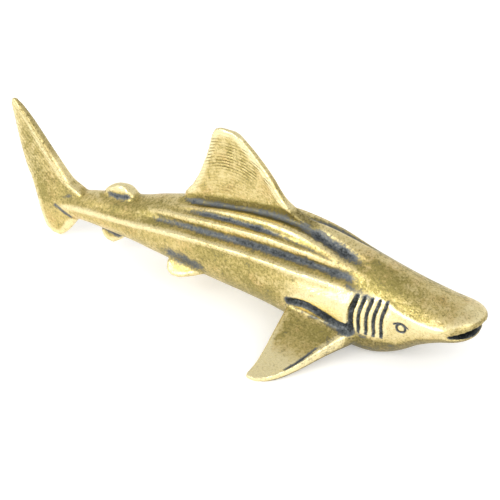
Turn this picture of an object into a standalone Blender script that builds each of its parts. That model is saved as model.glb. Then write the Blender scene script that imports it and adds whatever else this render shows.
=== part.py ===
"""Shark figurine: one solid casting of aged brass, about 80 mm long.

The shark faces +X and lies belly down. Places along it are distances behind
the snout, heights are above the surface that it rests on, and the shape is
worked out for its right side (-Y) and mirrored to the left.
"""

import math
from collections import namedtuple

import bmesh
import bpy
from mathutils import Vector

MM = 0.001

# Body, in metres
BODY_LENGTH = 74.5 * MM        # snout to the end of the tail stalk, inside the tail fin
BODY_WIDTH = 13.2 * MM         # across the widest section, folds left out
BODY_HEIGHT = 17.0 * MM        # seat to the highest point of the crest
SNOUT_ROUND_PLAN = 4.6 * MM    # length over which the snout narrows, seen from above
SNOUT_ROUND_BROW = 2.8 * MM    # length over which its upper half thins, seen from the side
SNOUT_ROUND_CHIN = 3.8 * MM    # length over which its lower half thins
STALK_ROUND = 5.0 * MM         # length over which the stalk closes inside the tail fin
RING_STEP = 1.3 * MM           # longest step between two rings of the body
FOLD_DEPTH = 0.85 * MM         # depth of the deepest fold
FOLD_BREADTH = 0.9 * MM        # breadth of the broadest

# Dorsal fin
DORSAL_FROM_SNOUT = 28.9 * MM
DORSAL_BASE = 20.6 * MM
DORSAL_HEIGHT = 11.4 * MM
DORSAL_THICKNESS = 1.5 * MM
DORSAL_RIM = 1.5 * MM          # breadth of the raised band along the leading edge

# Second dorsal fin
REAR_DORSAL_FROM_SNOUT = 57.6 * MM
REAR_DORSAL_BASE = 6.4 * MM
REAR_DORSAL_HEIGHT = 2.0 * MM
REAR_DORSAL_THICKNESS = 2.3 * MM

# Anal fin
ANAL_FROM_SNOUT = 59.4 * MM
ANAL_BASE = 5.4 * MM
ANAL_HEIGHT = 2.6 * MM
ANAL_THICKNESS = 1.1 * MM

# Tail fin
TAIL_CHORD = 8.4 * MM          # length of the fin along the stalk
TAIL_HEIGHT = 21.6 * MM        # lower lobe to upper tip
TAIL_SWEEP = 5.8 * MM          # how far the upper tip reaches behind the stalk's end
TAIL_THICKNESS = 1.9 * MM
TAIL_FLOOR = -0.1 * MM         # lowest point of the lower lobe before the seat is cut

# Pectoral fins
PECTORAL_FROM_SNOUT = 17.5 * MM
PECTORAL_CHORD = 11.2 * MM
PECTORAL_SPAN = 18.3 * MM      # midline to tip
PECTORAL_ROOT = 4.0 * MM       # distance of the sunk root from the midline
PECTORAL_THICKNESS = 2.3 * MM
PECTORAL_BEVEL = 2.6 * MM      # breadth of the bevel along the leading edge
FIN_LINE_WIDTH = 0.36 * MM     # line engraved behind the bevel
FIN_LINE_DEPTH = 0.22 * MM
PECTORAL_SLOPE = 0.5           # rise for each millimetre in towards the body
PECTORAL_TIP_HEIGHT = 0.3 * MM
PECTORAL_ROOT_HEIGHT = 6.2 * MM   # rear end of the root

# Pelvic fins
PELVIC_FROM_SNOUT = 43.0 * MM
PELVIC_BASE = 7.1 * MM
PELVIC_REACH = 2.1 * MM
PELVIC_ANGLE = 128             # where the fins leave the body, in degrees from the crest
PELVIC_DROOP = 55              # how steeply they point down, in degrees
PELVIC_THICKNESS = 1.3 * MM

# Gill slits and the flank plate behind them
GILL_COUNT = 5
GILL_PITCH = 1.15 * MM
GILL_FROM_SNOUT = 17.75 * MM   # upper end of the rear slit
GILL_LEAN = 0.5 * MM           # how far a slit's lower end lies behind its upper end
GILL_BOW = 0.3 * MM            # how far a slit's middle bulges backwards
GILL_WIDTH = 0.62 * MM
GILL_REAR_WIDTH = 0.95 * MM    # the rear slit, which runs along the flank plate's edge
GILL_DEPTH = 0.6 * MM
GILL_TOP = 10.4 * MM           # height of the slits' upper ends
GILL_BOTTOM = 4.9 * MM
PLATE_RISE = 0.35 * MM         # step from the slits up to the flank plate
PLATE_LENGTH = 12.0 * MM       # length over which the plate fades into the flank
PLATE_FADE = 14                # degrees over which its upper edge rises from the skin
PLATE_FOOT = 112               # lower edge of the plate, in degrees from the crest
PLATE_FOOT_FADE = 12
ROOT_GROOVE_WIDTH = 1.15 * MM  # groove under the plate, above the pectoral fin
ROOT_GROOVE_DEPTH = 0.7 * MM
ROOT_GROOVE_LIFT = 2.4 * MM    # how far the groove's highest point lies above the slits' ends

# Eye
EYE_FROM_SNOUT = 10.6 * MM
EYE_HEIGHT = 7.4 * MM
EYE_RADIUS = 0.62 * MM
EYE_LINE = 0.36 * MM           # breadth of the ring cut round the eye
BROW_REACH = 1.0 * MM          # half the length of the line cut above the eye
BROW_LIFT = 0.75 * MM          # its middle, above the eye's
BROW_DROP = 0.3 * MM           # how much lower its ends lie
BROW_WIDTH = 0.26 * MM
BROW_DEPTH = 0.16 * MM

# Mouth
MOUTH_LEVEL = 7.85 * MM        # height of the slot's middle, halfway to its corners
MOUTH_HEIGHT = 1.5 * MM
MOUTH_SMILE = 0.25 * MM        # how much higher its middle lies than its corners
MOUTH_LIP = 1.5 * MM           # from the snout's front back to the upper lip
MOUTH_JAW = 1.9 * MM           # from the snout's front back to the lower lip
MOUTH_CORNER = 3.8 * MM        # from the snout's front back to the corners
MOUTH_DEPTH = 1.6 * MM         # from the lower lip to the back of the slot
MOUTH_PINCH = 0.3              # height left at the corners, as a share of the middle's
MOUTH_NARROWING = 0.7          # height at the back of the slot, as a share of the front's
MOUTH_OVERHANG = 0.35          # rise of the snout's underside for each millimetre forward
MOUTH_CHIN = 1.1               # fall of the jaw's front for each millimetre forward
MOUTH_OVERLAP = 1.04           # cutter's breadth over the snout's, to break out at the corners

SEAT_DEPTH = 6.0 * MM          # thickness of the block that trims the seat flat

# Sections of the body. Each gives a place as a share of the body's length, its
# width as a share of the body's, the heights of its crest, widest line and
# belly as shares of the body's height, and how square its upper and lower
# halves are (2 is round).
Section = namedtuple("Section", "along width crest waist belly upper lower")

BODY_SECTIONS = (
    Section(0.000, 0.65, 0.63, 0.547, 0.353, 1.7, 2.2),
    Section(0.058, 0.70, 0.66, 0.512, 0.312, 1.6, 2.2),
    Section(0.118, 0.76, 0.718, 0.482, 0.194, 1.6, 2.2),
    Section(0.168, 0.80, 0.776, 0.459, 0.053, 1.6, 2.4),
    Section(0.215, 0.865, 0.835, 0.447, -0.009, 1.55, 2.7),
    Section(0.268, 0.94, 0.90, 0.465, -0.009, 1.55, 2.5),
    Section(0.357, 1.00, 0.982, 0.506, 0.03, 1.65, 2.2),
    Section(0.456, 0.97, 1.00, 0.53, 0.112, 1.75, 2.1),
    Section(0.604, 0.85, 0.894, 0.523, 0.176, 1.8, 2.1),
    Section(0.722, 0.65, 0.747, 0.482, 0.218, 1.8, 2.1),
    Section(0.775, 0.545, 0.665, 0.453, 0.241, 1.8, 2.1),
    Section(0.890, 0.345, 0.553, 0.394, 0.247, 1.9, 2.0),
    Section(0.945, 0.20, 0.475, 0.335, 0.218, 2.0, 2.0),
    Section(1.000, 0.06, 0.388, 0.27, 0.182, 2.0, 2.0),
)

# Lines of the folds along each flank: a place as a share of the body's
# length, then the angle round the section of each line, in degrees from the
# crest. The lateral ridge runs on over the gills as the head's shoulder.
FoldLines = namedtuple(
    "FoldLines",
    "along upper_groove upper_ridge middle_groove middle_ridge lower_groove lateral_ridge",
)

FOLD_LINES = (
    FoldLines(0.00, 22, 30, 38, 46, 58, 92),
    FoldLines(0.05, 22, 30, 38, 46, 58, 90),
    FoldLines(0.10, 24, 32, 40, 47, 57, 78),
    FoldLines(0.15, 26, 34, 40, 46, 53, 66),
    FoldLines(0.20, 28, 34, 39, 43, 47, 56),
    FoldLines(0.25, 27, 34, 40, 43, 47, 59),
    FoldLines(0.32, 22, 31, 39, 44, 50, 63),
    FoldLines(0.40, 15, 28, 38, 44, 54, 67),
    FoldLines(0.50, 12, 26, 36, 45, 56, 69),
    FoldLines(0.60, 12, 24, 33, 45, 56, 70),
    FoldLines(0.70, 15, 24, 32, 43, 52, 72),
    FoldLines(0.80, 20, 28, 35, 42, 50, 75),
    FoldLines(0.90, 22, 30, 38, 48, 60, 78),
    FoldLines(1.00, 24, 34, 44, 54, 66, 82),
)

# Folds on those lines: height above (or, negative, below) the plain flank and
# breadth, as shares of the deepest and the broadest, and the shares of the
# body's length that they span.
Fold = namedtuple("Fold", "line height breadth first last")

FOLDS = (
    Fold("upper_groove", -0.95, 1.00, 0.23, 0.68),
    Fold("upper_ridge", 0.26, 0.67, 0.26, 0.62),
    Fold("middle_groove", -0.60, 0.60, 0.36, 0.68),
    Fold("middle_ridge", 0.30, 0.60, 0.26, 0.74),
    Fold("lower_groove", -1.00, 0.90, 0.23, 0.76),
    Fold("lateral_ridge", 0.50, 0.60, 0.23, 0.98),
    Fold("lateral_ridge", 0.20, 0.55, 0.03, 0.20),
)

# Steps between the points of half a ring: from the crest to each fold line in
# turn, then down to the flank's foot and to the belly.
FOLD_STEPS = (3, 2, 2, 2, 2, 3)
FLANK_FOOT = 110
FLANK_STEPS = 4
BELLY_STEPS = 7


def place(from_snout, side, height):
    """World position of a place given behind the snout, out to the side and above the seat."""
    return Vector((total_length() / 2 - from_snout, side, height))


def total_length():
    return BODY_LENGTH + TAIL_SWEEP


def smooth_between(rows, at):
    """Value at a place on a smooth curve through (place, value) rows."""
    places = [row[0] for row in rows]
    values = [row[1] for row in rows]
    if at <= places[0]:
        return values[0]
    if at >= places[-1]:
        return values[-1]
    i = max(k for k in range(len(places) - 1) if places[k] <= at)

    def slope(k):
        low, high = max(k - 1, 0), min(k + 1, len(places) - 1)
        return (values[high] - values[low]) / (places[high] - places[low])

    span = places[i + 1] - places[i]
    u = (at - places[i]) / span
    return (
        (2 * u**3 - 3 * u**2 + 1) * values[i]
        + (u**3 - 2 * u**2 + u) * span * slope(i)
        + (3 * u**2 - 2 * u**3) * values[i + 1]
        + (u**3 - u**2) * span * slope(i + 1)
    )


def rounding(distance, length):
    """Quarter circle that grows from 0 to 1 over a length, and stays 1 after it."""
    u = min(max(distance / length, 0.0), 1.0)
    return math.sqrt(1 - (1 - u) ** 2)


def section_at(from_snout):
    """The body's section at a place in metres, with the rounding of its two ends."""
    along = from_snout / BODY_LENGTH

    def value(field):
        return smooth_between([(s.along, getattr(s, field)) for s in BODY_SECTIONS], along)

    to_end = BODY_LENGTH - from_snout
    narrow = rounding(from_snout, SNOUT_ROUND_PLAN) * rounding(to_end, STALK_ROUND)
    brow = rounding(from_snout, SNOUT_ROUND_BROW) * rounding(to_end, STALK_ROUND)
    chin = rounding(from_snout, SNOUT_ROUND_CHIN) * rounding(to_end, STALK_ROUND)
    waist = value("waist")
    return Section(
        along,
        value("width") * narrow * BODY_WIDTH,
        (waist + (value("crest") - waist) * brow) * BODY_HEIGHT,
        waist * BODY_HEIGHT,
        (waist - (waist - value("belly")) * chin) * BODY_HEIGHT,
        value("upper"),
        value("lower"),
    )


def fold_angle(line, along):
    """Angle round the section at which a fold line runs."""
    return smooth_between([(row.along, getattr(row, line)) for row in FOLD_LINES], along)


def fold_height(section, angle):
    """Height of the folds and the flank plate at an angle round a section."""
    here = Vector(plain_point(section, angle))
    total = plate_height(section, angle)
    for fold in FOLDS:
        if fold.first < section.along < fold.last:
            share = (section.along - fold.first) / (fold.last - fold.first)
            fade = min(1.0, 2.2 * math.sin(math.pi * share))
            line = Vector(plain_point(section, fold_angle(fold.line, section.along)))
            off = (here - line).length / (fold.breadth * FOLD_BREADTH)
            total += fold.height * FOLD_DEPTH * fade * math.exp(-off * off)
    return total


def plate_front():
    """Place of the flank plate's front edge, at the rear gill slit."""
    return GILL_FROM_SNOUT + (GILL_LEAN + GILL_BOW) / 2


def plate_height(section, angle):
    """Height of the plate behind the gill slits, from the lateral ridge down."""
    behind = section.along * BODY_LENGTH - plate_front()
    if behind < 0 or behind > PLATE_LENGTH:
        return 0.0
    ridge = fold_angle("lateral_ridge", section.along)
    fade = math.cos(math.pi / 2 * behind / PLATE_LENGTH)
    rise = min(max((angle - ridge) / PLATE_FADE, 0.0), 1.0)
    fall = min(max((PLATE_FOOT - angle) / PLATE_FOOT_FADE, 0.0), 1.0)
    return PLATE_RISE * fade * rise * fall


def plain_point(section, angle):
    """Side and height of the plain section at an angle from the crest."""
    turn = math.radians(angle)
    power = section.upper if angle < 90 else section.lower
    rise = section.crest - section.waist if angle < 90 else section.waist - section.belly
    side = section.width / 2 * abs(math.sin(turn)) ** (2 / power)
    height = rise * math.copysign(abs(math.cos(turn)) ** (2 / power), math.cos(turn))
    return side, section.waist + height


def skin_point(from_snout, angle):
    """Point on the body's right side, folds included."""
    section = section_at(from_snout)
    side, height = plain_point(section, angle)
    if 0 < angle < 180:
        ahead = plain_point(section, min(angle + 1, 180))
        behind = plain_point(section, max(angle - 1, 0))
        outward = Vector((behind[1] - ahead[1], ahead[0] - behind[0]))
        if outward.length > 0:
            outward.normalize()
            raised = fold_height(section, angle)
            side += outward.x * raised
            height += outward.y * raised
    return place(from_snout, -side, height)


def skin_normal(from_snout, angle):
    """Outward direction of the body's right side."""
    step = 0.2 * MM
    along = skin_point(from_snout + step, angle) - skin_point(from_snout - step, angle)
    round_it = skin_point(from_snout, angle + 1) - skin_point(from_snout, angle - 1)
    return along.cross(round_it).normalized()


def angle_at_height(from_snout, height):
    """Angle round the section at which the right flank reaches a height."""
    low, high = 20.0, 160.0
    for _ in range(30):
        middle = (low + high) / 2
        if skin_point(from_snout, middle).z > height:
            low = middle
        else:
            high = middle
    return (low + high) / 2


def new_object(name, mesh_data, collection):
    mesh = bpy.data.meshes.new(name)
    mesh_data.to_mesh(mesh)
    mesh_data.free()
    thing = bpy.data.objects.new(name, mesh)
    collection.objects.link(thing)
    return thing


def loft(name, rings, collection):
    """Closed skin through rings of points, which all have the same count.

    A ring of one point closes its end to a tip, any other end gets a cap.
    """
    skin = bmesh.new()
    rows = [[skin.verts.new(point) for point in ring] for ring in rings]
    for near, far in zip(rows, rows[1:]):
        count = max(len(near), len(far))
        for k in range(count):
            corners = [near[k % len(near)], near[(k + 1) % len(near)]]
            corners += [far[(k + 1) % len(far)], far[k % len(far)]]
            distinct = list(dict.fromkeys(corners))
            skin.faces.new(distinct)
    for row in (rows[0], rows[-1]):
        if len(row) > 1:
            skin.faces.new(row)
    bmesh.ops.triangulate(skin, faces=skin.faces[:])
    bmesh.ops.recalc_face_normals(skin, faces=skin.faces[:])
    return new_object(name, skin, collection)


def ring_angles(along):
    """Angles of half a ring's points, with a point on every fold line."""
    ends = [fold_angle(line, along) for line in FoldLines._fields[1:]]
    angles = [0.0]
    for end, steps in zip(ends + [FLANK_FOOT, 180], FOLD_STEPS + (FLANK_STEPS, BELLY_STEPS)):
        start = angles[-1]
        angles += [start + (end - start) * k / steps for k in range(1, steps + 1)]
    return angles


def evenly(start, end, step):
    """Places after a start, up to and with an end, no further apart than a step."""
    steps = math.ceil((end - start) / step)
    return [start + (end - start) * k / steps for k in range(1, steps + 1)]


def ring_places():
    """Places of the body's rings: close together where it rounds off and at the plate's edge."""
    snout = [SNOUT_ROUND_PLAN * (1 - math.cos(math.radians(a))) for a in range(15, 91, 15)]
    stalk = [BODY_LENGTH - STALK_ROUND * (1 - math.cos(math.radians(a))) for a in (60, 30)]
    edge = plate_front()
    before = evenly(snout[-1], edge - GILL_WIDTH / 4, RING_STEP)
    after = evenly(edge, BODY_LENGTH - STALK_ROUND, RING_STEP)
    return snout + before + [edge] + after + stalk


def make_body(collection):
    rings = [[skin_point(0, 90)]]
    for from_snout in ring_places():
        angles = ring_angles(from_snout / BODY_LENGTH)
        right = [skin_point(from_snout, angle) for angle in angles]
        left = [Vector((p.x, -p.y, p.z)) for p in reversed(right[1:-1])]
        for point in (right[0], right[-1]):
            point.y = 0
        rings.append(right + left)
    rings.append([skin_point(BODY_LENGTH, 90)])
    return loft("shark", rings, collection)


# Outlines of the fins. Each row is a share of the fin's height, the leading
# and trailing edges as shares of its base from the base's front, and a share
# of its thickness.
Row = namedtuple("Row", "up lead trail thick")

DORSAL_OUTLINE = (
    Row(-0.30, -0.16, 1.03, 1.7),
    Row(-0.12, -0.15, 1.005, 1.45),
    Row(0.00, -0.08, 0.955, 1.30),
    Row(0.035, -0.01, 0.945, 1.22),
    Row(0.08, 0.06, 0.930, 1.16),
    Row(0.19, 0.163, 0.897, 1.10),
    Row(0.32, 0.225, 0.870, 1.02),
    Row(0.45, 0.275, 0.843, 0.98),
    Row(0.58, 0.335, 0.820, 0.94),
    Row(0.70, 0.398, 0.803, 0.90),
    Row(0.80, 0.455, 0.790, 0.86),
    Row(0.88, 0.505, 0.775, 0.80),
    Row(0.94, 0.550, 0.750, 0.70),
    Row(0.985, 0.61, 0.700, 0.50),
)
REAR_DORSAL_OUTLINE = (
    Row(-1.00, 0.00, 1.05, 1.3),
    Row(0.00, 0.04, 0.96, 1.1),
    Row(0.45, 0.12, 0.84, 0.95),
    Row(0.80, 0.24, 0.68, 0.75),
    Row(0.97, 0.36, 0.54, 0.45),
)
ANAL_OUTLINE = (
    Row(-0.80, 0.00, 0.96, 1.3),
    Row(0.00, 0.06, 0.98, 1.1),
    Row(0.40, 0.22, 0.98, 0.95),
    Row(0.75, 0.42, 0.92, 0.75),
    Row(0.96, 0.58, 0.80, 0.45),
)
TAIL_OUTLINE = (
    Row(0.000, 0.30, 0.46, 0.45),
    Row(0.035, 0.17, 0.59, 0.70),
    Row(0.090, 0.05, 0.66, 0.85),
    Row(0.180, -0.10, 0.74, 1.00),
    Row(0.300, -0.20, 0.82, 1.15),
    Row(0.390, -0.32, 0.89, 1.20),
    Row(0.425, -0.20, 0.92, 1.18),
    Row(0.455, -0.03, 0.96, 1.14),
    Row(0.500, 0.09, 1.00, 1.10),
    Row(0.610, 0.32, 1.08, 1.00),
    Row(0.730, 0.57, 1.15, 0.90),
    Row(0.860, 0.84, 1.22, 0.75),
    Row(0.950, 1.06, 1.27, 0.55),
    Row(0.990, 1.18, 1.25, 0.35),
)

# Half section of a fin blade: distance from the leading edge in shares of the
# rim, and half thickness in shares of the fin's. The rest of the chord thins
# towards the trailing edge.
RIM_ARC = ((0.0, 0.0), (0.06, 0.50), (0.22, 0.86), (0.55, 1.0), (1.0, 0.84))
RIM_LIMIT = 0.34               # largest share of the chord that the rim takes
BLADE_TAPER = ((0.30, 0.78), (0.60, 0.66), (0.85, 0.50), (0.97, 0.34), (1.0, 0.0))


def blade_profile(length, rim):
    """Half section of a blade: shares of its chord and of its half thickness."""
    rim_share = min(rim / length, RIM_LIMIT)
    half = [(share * rim_share, thick) for share, thick in RIM_ARC]
    return half + [(rim_share + (1 - rim_share) * share, thick) for share, thick in BLADE_TAPER]


def blade_section(lead, trail, out, half_thickness, rim):
    """Ring of points round a fin blade's chord, with a raised rim at its leading edge."""
    chord = trail - lead
    half = blade_profile(chord.length, rim)
    right = [lead + chord * share + out * half_thickness * thick for share, thick in half]
    left = [lead + chord * share - out * half_thickness * thick for share, thick in half[1:-1]]
    return right + list(reversed(left))


def upright_fin(name, outline, front, base, foot, height, thickness, rim, collection):
    """Fin on the midline, lofted through level sections from its sunk foot to its tip."""
    rings = []
    for row in outline:
        level = foot + row.up * height
        lead = place(front + row.lead * base, 0, level)
        trail = place(front + row.trail * base, 0, level)
        half = thickness / 2 * row.thick
        rings.append(blade_section(lead, trail, Vector((0, -1, 0)), half, rim))
    return loft(name, rings, collection)


def crest_height(from_snout):
    return skin_point(from_snout, 0).z


def belly_height(from_snout):
    return skin_point(from_snout, 180).z


def make_dorsal(collection):
    foot = crest_height(DORSAL_FROM_SNOUT + DORSAL_BASE / 2)
    upright_fin("dorsal_fin", DORSAL_OUTLINE, DORSAL_FROM_SNOUT, DORSAL_BASE, foot,
                DORSAL_HEIGHT, DORSAL_THICKNESS, DORSAL_RIM, collection)


def make_rear_dorsal(collection):
    foot = crest_height(REAR_DORSAL_FROM_SNOUT + REAR_DORSAL_BASE / 2)
    upright_fin("rear_dorsal_fin", REAR_DORSAL_OUTLINE, REAR_DORSAL_FROM_SNOUT,
                REAR_DORSAL_BASE, foot, REAR_DORSAL_HEIGHT, REAR_DORSAL_THICKNESS,
                REAR_DORSAL_BASE, collection)


def make_anal_fin(collection):
    foot = belly_height(ANAL_FROM_SNOUT + ANAL_BASE / 2)
    upright_fin("anal_fin", ANAL_OUTLINE, ANAL_FROM_SNOUT, ANAL_BASE, foot,
                -ANAL_HEIGHT, ANAL_THICKNESS, ANAL_BASE, collection)


def make_tail_fin(collection):
    front = total_length() - max(row.trail for row in TAIL_OUTLINE) * TAIL_CHORD
    upright_fin("tail_fin", TAIL_OUTLINE, front, TAIL_CHORD, TAIL_FLOOR,
                TAIL_HEIGHT - TAIL_FLOOR, TAIL_THICKNESS, TAIL_THICKNESS, collection)


# Pectoral fin, as shares: distance out from root to tip, leading and trailing
# edges along the chord, their heights between the tip's and the root's, and
# thickness.
Span = namedtuple("Span", "out lead trail lead_rise trail_rise thick")

PECTORAL_SPANS = (
    Span(0.00, -0.08, 0.98, 0.52, 1.00, 1.55),
    Span(0.14, 0.05, 1.00, 0.42, 0.86, 1.38),
    Span(0.28, 0.18, 1.00, 0.32, 0.68, 1.18),
    Span(0.43, 0.30, 0.99, 0.22, 0.52, 1.00),
    Span(0.65, 0.44, 0.965, 0.12, 0.31, 0.80),
    Span(0.84, 0.59, 0.96, 0.05, 0.14, 0.64),
    Span(0.94, 0.72, 0.98, 0.02, 0.06, 0.50),
    Span(0.985, 0.83, 0.97, 0.01, 0.02, 0.38),
)


def pectoral_blade(span):
    """Leading and trailing edge of the right pectoral fin, its upward side and half thickness."""
    side = -(PECTORAL_ROOT + span.out * (PECTORAL_SPAN - PECTORAL_ROOT))
    rise = PECTORAL_ROOT_HEIGHT - PECTORAL_TIP_HEIGHT
    lead = place(PECTORAL_FROM_SNOUT + span.lead * PECTORAL_CHORD, side,
                 PECTORAL_TIP_HEIGHT + span.lead_rise * rise)
    trail = place(PECTORAL_FROM_SNOUT + span.trail * PECTORAL_CHORD, side,
                  PECTORAL_TIP_HEIGHT + span.trail_rise * rise)
    up = Vector((0, 1, PECTORAL_SLOPE)).cross(trail - lead).normalized()
    return lead, trail, up, PECTORAL_THICKNESS / 2 * span.thick


def make_pectoral(collection):
    """Right pectoral fin; the mirror makes the left one."""
    rings = [blade_section(*pectoral_blade(span), PECTORAL_BEVEL) for span in PECTORAL_SPANS]
    return loft("pectoral_fin", rings, collection)


# Line engraved on top of the pectoral fin: distance out, and place along the chord
FIN_LINE = ((0.44, 0.27), (0.53, 0.27), (0.62, 0.28), (0.71, 0.30), (0.80, 0.32))


def make_fin_line(collection):
    """Cutter along the back of the pectoral fin's bevel."""
    track = []
    for out, share in FIN_LINE:
        span = Span(*[smooth_between([(row.out, getattr(row, field)) for row in PECTORAL_SPANS], out)
                      for field in Span._fields])
        lead, trail, up, half = pectoral_blade(span)
        chord = trail - lead
        thick = smooth_between(blade_profile(chord.length, PECTORAL_BEVEL), share)
        track.append((lead + chord * share + up * half * thick, up))
    cut_along("fin_line", track, FIN_LINE_WIDTH, FIN_LINE_DEPTH, collection)


# Pelvic fin: share of the reach, leading and trailing edges as shares of the base
PELVIC_SPANS = (
    Row(-0.50, 0.00, 0.95, 1.2),
    Row(0.00, 0.04, 1.00, 1.0),
    Row(0.45, 0.26, 0.99, 0.85),
    Row(0.80, 0.50, 0.92, 0.65),
    Row(0.97, 0.64, 0.82, 0.40),
)


def make_pelvic(collection):
    rings = []
    droop = math.radians(PELVIC_DROOP)
    outward = Vector((0, -math.cos(droop), -math.sin(droop)))
    root = skin_point(PELVIC_FROM_SNOUT + PELVIC_BASE / 2, PELVIC_ANGLE)
    for row in PELVIC_SPANS:
        foot = Vector((0, root.y, root.z)) + outward * row.up * PELVIC_REACH
        lead = place(PELVIC_FROM_SNOUT + row.lead * PELVIC_BASE, foot.y, foot.z)
        trail = place(PELVIC_FROM_SNOUT + row.trail * PELVIC_BASE, foot.y, foot.z)
        up = (trail - lead).cross(outward).normalized()
        half = PELVIC_THICKNESS / 2 * row.thick
        rings.append(blade_section(lead, trail, up, half, PELVIC_BASE))
    return loft("pelvic_fin", rings, collection)


# Section of a cut in the skin: breadth and depth as shares, depth pointing in
CUT_SECTION = ((-1.0, -0.8), (1.0, -0.8), (0.9, 0.0), (0.4, 1.0), (-0.4, 1.0), (-0.9, 0.0))


def cut_along(name, track, breadth, depth, collection):
    """Cutter along a track of points and outward directions, narrow at both ends."""
    rings = []
    last = len(track) - 1
    for k, (here, normal) in enumerate(track):
        ahead = track[min(k + 1, last)][0]
        behind = track[max(k - 1, 0)][0]
        across = (ahead - behind).cross(normal).normalized()
        full = min(1.0, 0.35 + 2.2 * math.sin(math.pi * k / last))
        ring = [here + across * (breadth / 2 * full * b) - normal * (depth * full * d)
                for b, d in CUT_SECTION]
        rings.append(ring)
    return loft(name, rings, collection)


def skin_cut(name, path, breadth, depth, collection):
    """Cutter that follows a path on the right flank."""
    track = [(skin_point(*spot), skin_normal(*spot)) for spot in path]
    return cut_along(name, track, breadth, depth, collection)


def gill_path(slit):
    """Path of a gill slit from its upper to its lower end; slit 0 is the rear one."""
    steps = 6
    top = GILL_FROM_SNOUT - slit * GILL_PITCH
    path = []
    for k in range(steps + 1):
        share = k / steps
        height = GILL_TOP + (GILL_BOTTOM - GILL_TOP) * share
        from_snout = top + GILL_LEAN * share + GILL_BOW * math.sin(math.pi * share)
        path.append((from_snout, angle_at_height(from_snout, height)))
    return path


def make_gills(collection):
    for slit in range(GILL_COUNT):
        width = GILL_WIDTH if slit else GILL_REAR_WIDTH
        skin_cut(f"gill_slit_{slit + 1}", gill_path(slit), width, GILL_DEPTH, collection)


# Rise of the root groove above the gill slits' lower ends, as shares of its
# lift, by shares of the pectoral fin's chord
ROOT_GROOVE_RISE = ((0.0, 0.15), (0.2, 0.35), (0.42, 0.75), (0.65, 1.0), (0.9, 0.8))


def make_root_groove(collection):
    """Groove where the flank plate overhangs the pectoral fin's root."""
    steps = 8
    first, last = ROOT_GROOVE_RISE[0][0], ROOT_GROOVE_RISE[-1][0]
    front = GILL_FROM_SNOUT + GILL_LEAN
    path = []
    for k in range(steps + 1):
        share = first + (last - first) * k / steps
        height = GILL_BOTTOM + smooth_between(ROOT_GROOVE_RISE, share) * ROOT_GROOVE_LIFT
        from_snout = front + share * PECTORAL_CHORD
        path.append((from_snout, angle_at_height(from_snout, height)))
    skin_cut("root_groove", path, ROOT_GROOVE_WIDTH, ROOT_GROOVE_DEPTH, collection)


def make_eye(collection):
    angle = angle_at_height(EYE_FROM_SNOUT, EYE_HEIGHT)
    normal = skin_normal(EYE_FROM_SNOUT, angle)
    bpy.ops.mesh.primitive_torus_add(
        location=skin_point(EYE_FROM_SNOUT, angle),
        rotation=normal.to_track_quat("Z", "Y").to_euler(),
        major_radius=EYE_RADIUS, minor_radius=EYE_LINE / 2,
        major_segments=16, minor_segments=6,
    )
    ring = bpy.context.object
    ring.name = "eye_ring"
    bpy.ops.object.transform_apply(location=True, rotation=True, scale=True)
    move_to(ring, collection)


def make_brow(collection):
    """Line cut in an arch above the eye."""
    path = []
    for share in (-1.0, -0.5, 0.0, 0.5, 1.0):
        from_snout = EYE_FROM_SNOUT - share * BROW_REACH
        height = EYE_HEIGHT + BROW_LIFT - BROW_DROP * share**2
        path.append((from_snout, angle_at_height(from_snout, height)))
    skin_cut("brow_line", path, BROW_WIDTH, BROW_DEPTH, collection)


def move_to(thing, collection):
    for holder in list(thing.users_collection):
        holder.objects.unlink(thing)
    collection.objects.link(thing)


def make_mouth(collection):
    """Slot under the snout's overhang: deep in the middle, closing at both corners."""
    half = section_at(MOUTH_CORNER).width / 2
    front = -MOUTH_LIP
    steps = 12
    rings = []
    for k in range(steps + 1):
        across = 2 * k / steps - 1
        middle = math.sqrt(1 - across * across)
        side = half * MOUTH_OVERLAP * across
        lip = MOUTH_CORNER + (MOUTH_LIP - MOUTH_CORNER) * middle
        jaw = MOUTH_CORNER + (MOUTH_JAW - MOUTH_CORNER) * middle
        back = jaw + MOUTH_DEPTH * (MOUTH_PINCH + (1 - MOUTH_PINCH) * middle)
        high = MOUTH_HEIGHT / 2 * (MOUTH_PINCH + (1 - MOUTH_PINCH) * middle)
        level = MOUTH_LEVEL + MOUTH_SMILE * (middle - 0.5)
        rings.append([place(front, side, level + high + (lip - front) * MOUTH_OVERHANG),
                      place(lip, side, level + high),
                      place(back, side, level + high * MOUTH_NARROWING),
                      place(back, side, level - high * MOUTH_NARROWING),
                      place(jaw, side, level - high),
                      place(front, side, level - high - (jaw - front) * MOUTH_CHIN)])
    loft("mouth_slot", rings, collection)


def make_seat(collection):
    """Block below the rest plane, which leaves a small flat wherever the casting touches it."""
    bpy.ops.mesh.primitive_cube_add(size=1, location=(0, 0, -SEAT_DEPTH / 2))
    block = bpy.context.object
    block.name = "seat_block"
    block.scale = (total_length() * 1.5, PECTORAL_SPAN * 3, SEAT_DEPTH)
    bpy.ops.object.transform_apply(location=True, rotation=True, scale=True)
    move_to(block, collection)


def new_collection(name):
    collection = bpy.data.collections.new(name)
    bpy.context.scene.collection.children.link(collection)
    return collection


def add_boolean(body, name, operation, operands):
    step = body.modifiers.new(name, "BOOLEAN")
    step.operation = operation
    step.operand_type = "COLLECTION"
    step.collection = operands
    step.solver = "EXACT"


def mirror_right_side(body):
    halves = body.modifiers.new("left_side", "MIRROR")
    halves.use_axis = (False, True, False)
    halves.use_bisect_axis = (False, True, False)
    halves.use_bisect_flip_axis = (False, True, False)
    halves.bisect_threshold = 0.000001
    halves.merge_threshold = 0.000002


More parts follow.
